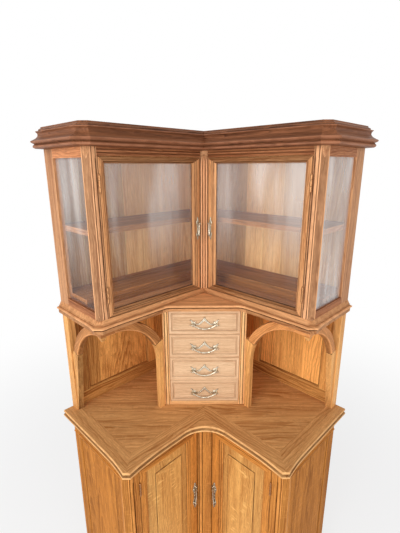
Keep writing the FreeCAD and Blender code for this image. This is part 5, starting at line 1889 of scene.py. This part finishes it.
@dataclass
class Brassware(Piece):
    """Plates, drops, hinges and bails."""

    plate: Profile = (
        (0.12, 0.5), (0.42, 0.46), (0.3, 0.41), (0.62, 0.37), (0.95, 0.31), (1.0, 0.24), (0.7, 0.17),
        (0.48, 0.08), (0.42, -0.04), (0.55, -0.14), (0.85, -0.22), (0.95, -0.29), (0.7, -0.36),
        (0.34, -0.41), (0.4, -0.46), (0.12, -0.5))
    plate_steps: Profile = (
        (1, 0), (1, 1.1), (0.93, 1.8), (0.78, 2), (0.66, 1.5), (0.58, 1.5), (0.45, 2.3), (0.2, 2.8))
    drop: Profile = (
        (0.25, 0.04), (0.3, 0.14), (0.55, 0.24), (0.42, 0.34), (0.62, 0.5), (0.95, 0.7), (1.0, 0.8),
        (0.8, 0.9), (0.38, 0.97), (0.1, 1.0))
    roof: Profile = (
        (-36, -2), (-34, -6), (-22, -4), (0, 15), (22, -4), (34, -6), (36, -2), (23, 1.5), (5, 20),
        (0, 27), (-5, 20), (-23, 1.5))
    leaf: Profile = ((38, 2), (46, -8), (52, -2), (50, 8), (56, 19), (46, 13))
    bosses: Zones = (
        (0, 0.45, 0.7), (0, 0.36, 1.1), (0.55, 0.27, 0.9), (0.3, 0.15, 0.7), (0.28, 0.02, 0.6),
        (0.32, -0.12, 0.6), (0.55, -0.25, 0.9), (0, -0.33, 1.1), (0, -0.43, 0.7))
    beads: Zones = (
        (9, 12.5, 2.4), (16, 5, 2.2), (24, -2, 2.6), (36, 10, 2.4), (54, 15, 2.4), (56, -7, 2.4),
        (36, -10, 2.4), (46, -12, 2.2), (30, 4, 1.8))
    dome: Profile = ((0, 1.15), (0.25, 1.1), (0.6, 0.95), (0.95, 0.65), (1.15, 0.25), (1.18, 0.08))
    finial: Profile = ((-0.2, 2.6), (0.8, 2), (1.6, 2.9), (2.8, 3.1), (4, 2.2), (4.6, 0.8))
    rosette: Profile = ((0, 10), (1.2, 10), (2.2, 9), (2.4, 7.6), (1.7, 7), (1.8, 6), (3, 5.2), (3.4, 3))
    stud: Profile = ((0, 4.6), (2.5, 4.2), (4, 3), (8, 2.8), (9.5, 3.5), (12.5, 3.5), (14.5, 2.2))
    # Knuckles: radius, distances of the pin from leaf and front, leaf depth and outer ends
    knuckle: float = 3.8
    pin_u: float = 1.0
    pin_w: float = 4.0
    hinge_depth: float = 15.0
    inner_half: float = 10.0
    outer_ends: Pair = (-25.5, 10.5)
    outer_length: float = 15.0
    # Eye of a drop: distance from the front, half height of the lugs, their places, pin and ring
    eye_w: float = 9.0
    lug: float = 3.2
    lugs: Pair = (2.3, 4.3)
    pin: float = 1.5
    ring_radius: float = 3.2
    # Bail: height on the drawer front, front plane, distance of the bar, half span and sag
    pull_z: float = 41.0
    pull_d: float = 538.5
    bail_out: float = 11.0
    bail_half: float = 44.0
    bail_sag: float = 17.0
    stud_x: float = 49.8
    bail_eye: Pair = (42.0, 46.0)

    def cast(self) -> Timber:
        """Frame of a metal piece."""
        return self.mill.cut(UP, FRONT)

    def metal(self, work: Joinery, body: str, *nodes: str) -> None:
        """Finish a brass object."""
        work.finish(body, nodes, "brass", self.shop.brass, 0.8)

    def bronze(self, work: Joinery, body: str, *nodes: str) -> None:
        """Finish a hinge object."""
        work.finish(body, nodes, "brass", self.shop.bronze, 0.8)

    def turned(self, work: Joinery, base: Vector, axis: Vector, rows: Profile, count: int = 20) -> None:
        """Round piece from rows of (distance, radius) along an axis."""
        side = axis.orthogonal().normalized()
        other = axis.cross(side)
        swings = [side * math.cos(angle) + other * math.sin(angle) for angle in circle(count)]
        rings = [[base + (axis * far + swing * radius) * MM for swing in swings] for far, radius in rows]
        work.add(rings, self.cast(), 0.0)

    def rod(self, work: Joinery, a: Vector, b: Vector, radius: float) -> None:
        """Round bar with rounded ends."""
        run = b - a
        long = run.length / MM
        edge = min(0.5, radius * 0.3, long * 0.2)
        rows = ((0.0, radius - edge), (edge, radius), (long - edge, radius), (long, radius - edge))
        self.turned(work, a, run.normalized(), rows, 18)

    def boss(self, work: Joinery, spot: Vector, axis: Vector, radius: float) -> None:
        """Small cast dome."""
        rows = [(far * radius, wide * radius) for far, wide in self.dome]
        self.turned(work, spot, axis, rows, 12)

    def flat(self, work: Joinery, shape: Profile, sign: float, z: float) -> None:
        """Thin cast shape on a drawer front."""
        mid_x = sum(x for x, _ in shape) / len(shape)
        mid_z = sum(r for _, r in shape) / len(shape)
        rings = []
        for scale, lift in ((1.0, 0.0), (1.0, 1.4), (0.95, 2.2), (0.88, 2.6)):
            rings.append([PLAN.mid(sign * (mid_x + (x - mid_x) * scale), self.pull_d + lift,
                                   z + mid_z + (r - mid_z) * scale) for x, r in shape])
        work.add(rings, self.cast(), 0.0, (0.8, 0.4, 0.1))

    def build_hinges(self) -> None:
        """Fixed hinge halves of all doors."""
        work = Joinery("hinge_pins_look")
        for side in Side:
            for size in (BASE_DOOR, CASE_DOOR):
                for z in size.hinges():
                    self.build_fixed_hinge(work, side, size, z)
        self.bronze(work, "carcass", "hinge_pins")

    def build_fixed_hinge(self, work: Joinery, side: Side, size: DoorSize, z: float) -> None:
        """Outer knuckles, leaf ends and finials of one hinge."""
        u, w = size.us[1] + self.pin_u, size.front + self.pin_w
        for rise, tip in zip(self.outer_ends, (-1.0, 1.0)):
            low = z + rise
            high = low + self.outer_length
            a, b = PLAN.vec(side, u, w, low), PLAN.vec(side, u, w, high)
            self.rod(work, a, b, self.knuckle)
            self.turned(work, b if tip > 0.0 else a, UP * tip, self.finial, 16)
            self.wing_box(work, side, (size.us[1] + 1.2, size.us[1] + 2.0),
                          (size.front - self.hinge_depth, w), (low, high), self.cast(), 0.2)

    def build_door(self, side: Side, size: DoorSize, pull: PullSize, body: str) -> None:
        """Plate, lugs, pin and moving knuckles of a door, and its drop."""
        work = Joinery(body + "_brass_look")
        self.build_plate(work, side, size, pull)
        self.metal(work, body, body + "_brass")
        work = Joinery(body + "_knuckles_look")
        u, w = size.us[1] + self.pin_u, size.front + self.pin_w
        for z in size.hinges():
            low, high = z - self.inner_half, z + self.inner_half
            self.rod(work, PLAN.vec(side, u, w, low), PLAN.vec(side, u, w, high), self.knuckle)
            self.wing_box(work, side, (size.us[1], size.us[1] + 0.8),
                          (size.front - self.hinge_depth, w), (low, high), self.cast(), 0.2)
        self.bronze(work, body, body + "_brass")
        work = Joinery(body + "_drop_look")
        self.build_drop(work, side, size, pull)
        self.metal(work, body + "_drop_body", body + "_drop")

    def cross_rod(self, work: Joinery, side: Side, pull: PullSize, w: float, half: float,
                  radius: float) -> None:
        """Level bar through the eye of a pull."""
        z = pull.z + pull.eye
        ends = (PLAN.vec(side, pull.u - half, w, z), PLAN.vec(side, pull.u + half, w, z))
        self.rod(work, *ends, radius)

    def build_plate(self, work: Joinery, side: Side, size: DoorSize, pull: PullSize) -> None:
        """Shaped plate with a raised middle and the lugs of the eye."""
        half = pull.width / 2.0
        outline = list(self.plate)
        outline += [(-share, rise) for share, rise in reversed(self.plate)]
        rings = []
        for scale, lift in self.plate_steps:
            rings.append([PLAN.vec(side, pull.u + share * half * scale, size.front + lift,
                                   pull.z + rise * pull.height * (0.9 + 0.1 * scale))
                          for share, rise in outline])
        work.add(rings, self.cast(), 0.0, (0.5, 0.2, 0.1, 0.6, 0.9, 0.7, 0.3))
        face, grain = PLAN.out(side), pull.width / 9.0
        for share, rise, radius in self.bosses:
            for sign in (-1.0, 1.0) if share else (1.0,):
                spot = PLAN.vec(side, pull.u + sign * share * half, size.front + 1.4,
                                pull.z + rise * pull.height)
                self.boss(work, spot, face, grain * radius)
        eye_z, w, (near, far) = pull.z + pull.eye, size.front + self.eye_w, self.lugs
        for us in ((-far, -near), (near, far)):
            self.wing_box(work, side, (pull.u + us[0], pull.u + us[1]),
                          (size.front, w + 3.0), (eye_z - self.lug, eye_z + self.lug),
                          self.cast(), 0.7)
        self.cross_rod(work, side, pull, w, far, self.pin)

    def build_drop(self, work: Joinery, side: Side, size: DoorSize, pull: PullSize) -> None:
        """Pendant with round sections."""
        eye_z, w, half = pull.z + pull.eye, size.front + self.eye_w, pull.drop_width / 2.0
        rings = []
        for share, fall in smooth_profile(self.drop, 3):
            across, depth = share * half, 2.5 * (0.35 + 0.65 * min(1.0, share * 1.4))
            z = eye_z - fall * pull.drop_len
            rings.append([PLAN.vec(side, pull.u + across * math.cos(t), w + depth * math.sin(t), z)
                          for t in circle(20)])
        work.add(rings, self.cast(), 0.0)
        self.cross_rod(work, side, pull, w, 2.0, self.ring_radius)

    def build_pull(self, name: str, low: float) -> None:
        """Rosettes, leaf tips, roof strap, studs and the hanging bail of a drawer."""
        z, d = low + self.pull_z, self.pull_d
        bar = d + self.bail_out
        work = Joinery(name + "_pull_look")
        self.flat(work, self.roof, 1.0, z)
        self.boss(work, PLAN.mid(0.0, d + 1.8, z + 25.0), FRONT, 3.4)
        for sign in (-1.0, 1.0):
            self.flat(work, self.leaf, sign, z)
            self.turned(work, PLAN.mid(sign * self.bail_half, d, z), FRONT, self.rosette, 28)
            self.turned(work, PLAN.mid(sign * self.stud_x, d, z), FRONT, self.stud)
            for x, rise, radius in self.beads:
                lift = 1.6 if rise > 0.0 else 0.4
                self.boss(work, PLAN.mid(sign * x, d + lift, z + rise), FRONT, radius)
            ends = (PLAN.mid(sign * self.bail_eye[0], bar, z), PLAN.mid(sign * self.stud_x, bar, z))
            self.rod(work, *ends, self.pin)
        self.metal(work, name, name + "_pull")
        work = Joinery(name + "_bail_look")
        self.build_bail(work, z, bar)
        self.metal(work, name + "_bail_body", name + "_bail")

    def build_bail(self, work: Joinery, z: float, d: float) -> None:
        """Sagging bar that thickens to a knob in the middle."""
        radius = (self.bail_half ** 2 + self.bail_sag ** 2) / (2.0 * self.bail_sag)
        half = math.asin(self.bail_half / radius)
        rings = []
        for t in divide((-1.0, 1.0), 56):
            angle = half * t
            knob = 1.1 * math.exp(-(t / 0.16) ** 2)
            swell = 2.3 + knob + 0.9 * math.exp(-((abs(t) - 0.42) / 0.06) ** 2)
            centre = (radius * math.sin(angle), z - self.bail_sag + radius * (1.0 - math.cos(angle)))
            normal = (-math.sin(angle), math.cos(angle))
            ring = []
            for turn in circle(16):
                off = swell * math.cos(turn)
                ring.append(PLAN.mid(centre[0] + normal[0] * off, d + swell * math.sin(turn),
                                     centre[1] + normal[1] * off))
            rings.append(ring)
        # Painted shade on the lower half of the bail.
        underside_shade = [0.9 if 5 <= k <= 10 else 0.0 for k in range(16)]
        work.add(rings, self.cast(), 0.0, lines=underside_shade)
        for sign in (-1.0, 1.0):
            ends = [PLAN.mid(sign * x, d, z) for x in self.bail_eye]
            self.rod(work, *ends, self.ring_radius)


def circle(count: int) -> list[float]:
    """Angles of a full turn."""
    return [2.0 * math.pi * i / count for i in range(count)]


def seen_rays(w: Wiring) -> Socket:
    """One for rays that show the background itself, directly, mirrored or through glass."""
    path = w.put("ShaderNodeLightPath")
    mirrored = w.calc("MAXIMUM", path.outputs["Is Glossy Ray"], path.outputs["Is Transmission Ray"])
    return w.calc("MAXIMUM", path.outputs["Is Camera Ray"], mirrored)


@dataclass(frozen=True)
class Lamp:
    """Square soft light: name, place, power in watts and edge in metres."""

    name: str
    place: Colour
    power: float
    size: float = 2.2


@dataclass(frozen=True)
class CameraFit:
    """Camera of the photograph: place in metres, angles in degrees, lens and sensor in mm."""

    place: Colour = (-0.01906, -1.3792, 1.8216)
    pitch: float = 15.762
    yaw: float = 0.105
    roll: float = -0.208
    lens: float = 24.285
    sensor: float = 36.0
    shift: float = 1.478 / 533.0


@dataclass
class Studio:
    """Pale floor, soft lights, plain surroundings and the camera of the photograph."""

    lamps: tuple[Lamp, ...] = (Lamp("key", (-2.1, -2.5, 3.0), 54.0),
                               Lamp("fill", (2.0, -2.8, 1.9), 30.0),
                               Lamp("low_front", (-1.2, -3.3, 1.1), 46.0))
    aim: Colour = (0.0, 0.0, 1.1)
    surround: Colour = (0.52, 0.52, 0.53)
    white: Colour = (1.0, 1.0, 1.0)
    floor: Colour = (0.8, 0.8, 0.8)
    floor_half: float = 30.0
    floor_fade: Pair = (0.8, 3.2)
    fit: CameraFit = CameraFit()

    def build(self) -> None:
        """Set the scene."""
        self.build_floor()
        self.build_world()
        for lamp in self.lamps:
            self.build_lamp(lamp)
        self.build_camera()

    def build_floor(self) -> None:
        """White ground plane that shines a little where the background shows."""
        mesh, r = bpy.data.meshes.new("floor"), self.floor_half
        mesh.from_pydata([(-r, -r, 0), (r, -r, 0), (r, r, 0), (-r, r, 0)], [], [(0, 1, 2, 3)])
        obj = bpy.data.objects.new("floor", mesh)
        bpy.context.scene.collection.objects.link(obj)
        material, shader, w = new_material("white_floor")
        shader.inputs["Base Color"].default_value = rgba(self.floor)
        shader.inputs["Roughness"].default_value = 1.0
        glow = w.put("ShaderNodeEmission", Color=rgba(self.white), Strength=1.0)
        place = w.put("ShaderNodeTexCoord").outputs["Object"]
        reach = w.put("ShaderNodeVectorMath", Vector=place)
        reach.operation = "LENGTH"
        far = w.ease(reach.outputs["Value"], *self.floor_fade)
        share = w.plus(w.times(far, 0.3), 0.7)
        mix = w.put("ShaderNodeMixShader", Fac=w.times(seen_rays(w), share))
        w.feed(mix.inputs[1], shader.outputs[0])
        w.feed(mix.inputs[2], glow.outputs[0])
        w.feed(w.tree.nodes["Material Output"].inputs["Surface"], mix.outputs[0])
        mesh.materials.append(material)

    def build_world(self) -> None:
        """White to the camera, softer for the light."""
        world = bpy.data.worlds.new("studio")
        bpy.context.scene.world = world
        world.use_nodes = True
        w = Wiring(world.node_tree)
        back = w.tree.nodes["Background"]
        w.feed(back.inputs["Color"], w.blend(seen_rays(w), rgba(self.surround), rgba(self.white)))
        back.inputs["Strength"].default_value = 1.0

    def build_lamp(self, lamp: Lamp) -> None:
        """Square soft light that looks at the cabinet."""
        data = bpy.data.lights.new(lamp.name, "AREA")
        data.shape = "SQUARE"
        data.size = lamp.size
        data.energy = lamp.power
        obj = bpy.data.objects.new(lamp.name, data)
        obj.location = lamp.place
        obj.rotation_euler = (Vector(self.aim) - obj.location).to_track_quat("-Z", "Y").to_euler()
        bpy.context.scene.collection.objects.link(obj)

    def build_camera(self) -> None:
        """Camera at the photograph's place."""
        fit = self.fit
        pitch, yaw, roll = (math.radians(angle) for angle in (fit.pitch, fit.yaw, fit.roll))
        ahead = Vector((math.sin(yaw) * math.cos(pitch), math.cos(yaw) * math.cos(pitch), -math.sin(pitch)))
        right = Vector((math.cos(yaw), -math.sin(yaw), 0.0))
        up = right.cross(ahead)
        across = right * math.cos(roll) + up * math.sin(roll)
        lift = up * math.cos(roll) - right * math.sin(roll)
        data = bpy.data.cameras.new("camera")
        data.sensor_fit = "VERTICAL"
        data.sensor_height = fit.sensor
        data.lens = fit.lens
        data.shift_y = fit.shift
        obj = bpy.data.objects.new("camera", data)
        turn = Matrix((across, lift, -ahead)).transposed().to_4x4()
        obj.matrix_world = Matrix.Translation(Vector(fit.place)) @ turn
        bpy.context.scene.collection.objects.link(obj)
        bpy.context.scene.camera = obj


def main() -> None:
    """Build the look of the cabinet and its studio, logging each piece."""
    logging.basicConfig(level=logging.INFO, format="%(name)s: %(message)s")
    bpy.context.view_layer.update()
    scene = bpy.context.scene
    scene.view_settings.view_transform = "Standard"
    mill, shop = Sawmill(), Shop()
    for piece in (Cupboard, Counter, DrawerBlock, Arches, NicheBacks, DisplayCase, Cornice):
        piece(mill, shop).build()
        LOG.info("%s done", piece.__name__)
    brass = Brassware(mill, shop)
    brass.build_hinges()
    for side in Side:
        low = Door(mill, shop, side, BASE_DOOR, f"base_door_{side.name.lower()}")
        low.build_frame("oak_base")
        low.build_panel()
        brass.build_door(side, BASE_DOOR, BASE_PULL, low.body)
        high = Door(mill, shop, side, CASE_DOOR, f"case_door_{side.name.lower()}")
        high.build_frame("oak_case")
        high.build_glass()
        brass.build_door(side, CASE_DOOR, CASE_PULL, high.body)
    for index in range(len(BLOCK.drawer_z)):
        drawer = Drawer(mill, shop, index)
        drawer.build()
        brass.build_pull(drawer.name, drawer.low)
    Studio().build()


if __name__ == "__main__":
    main()
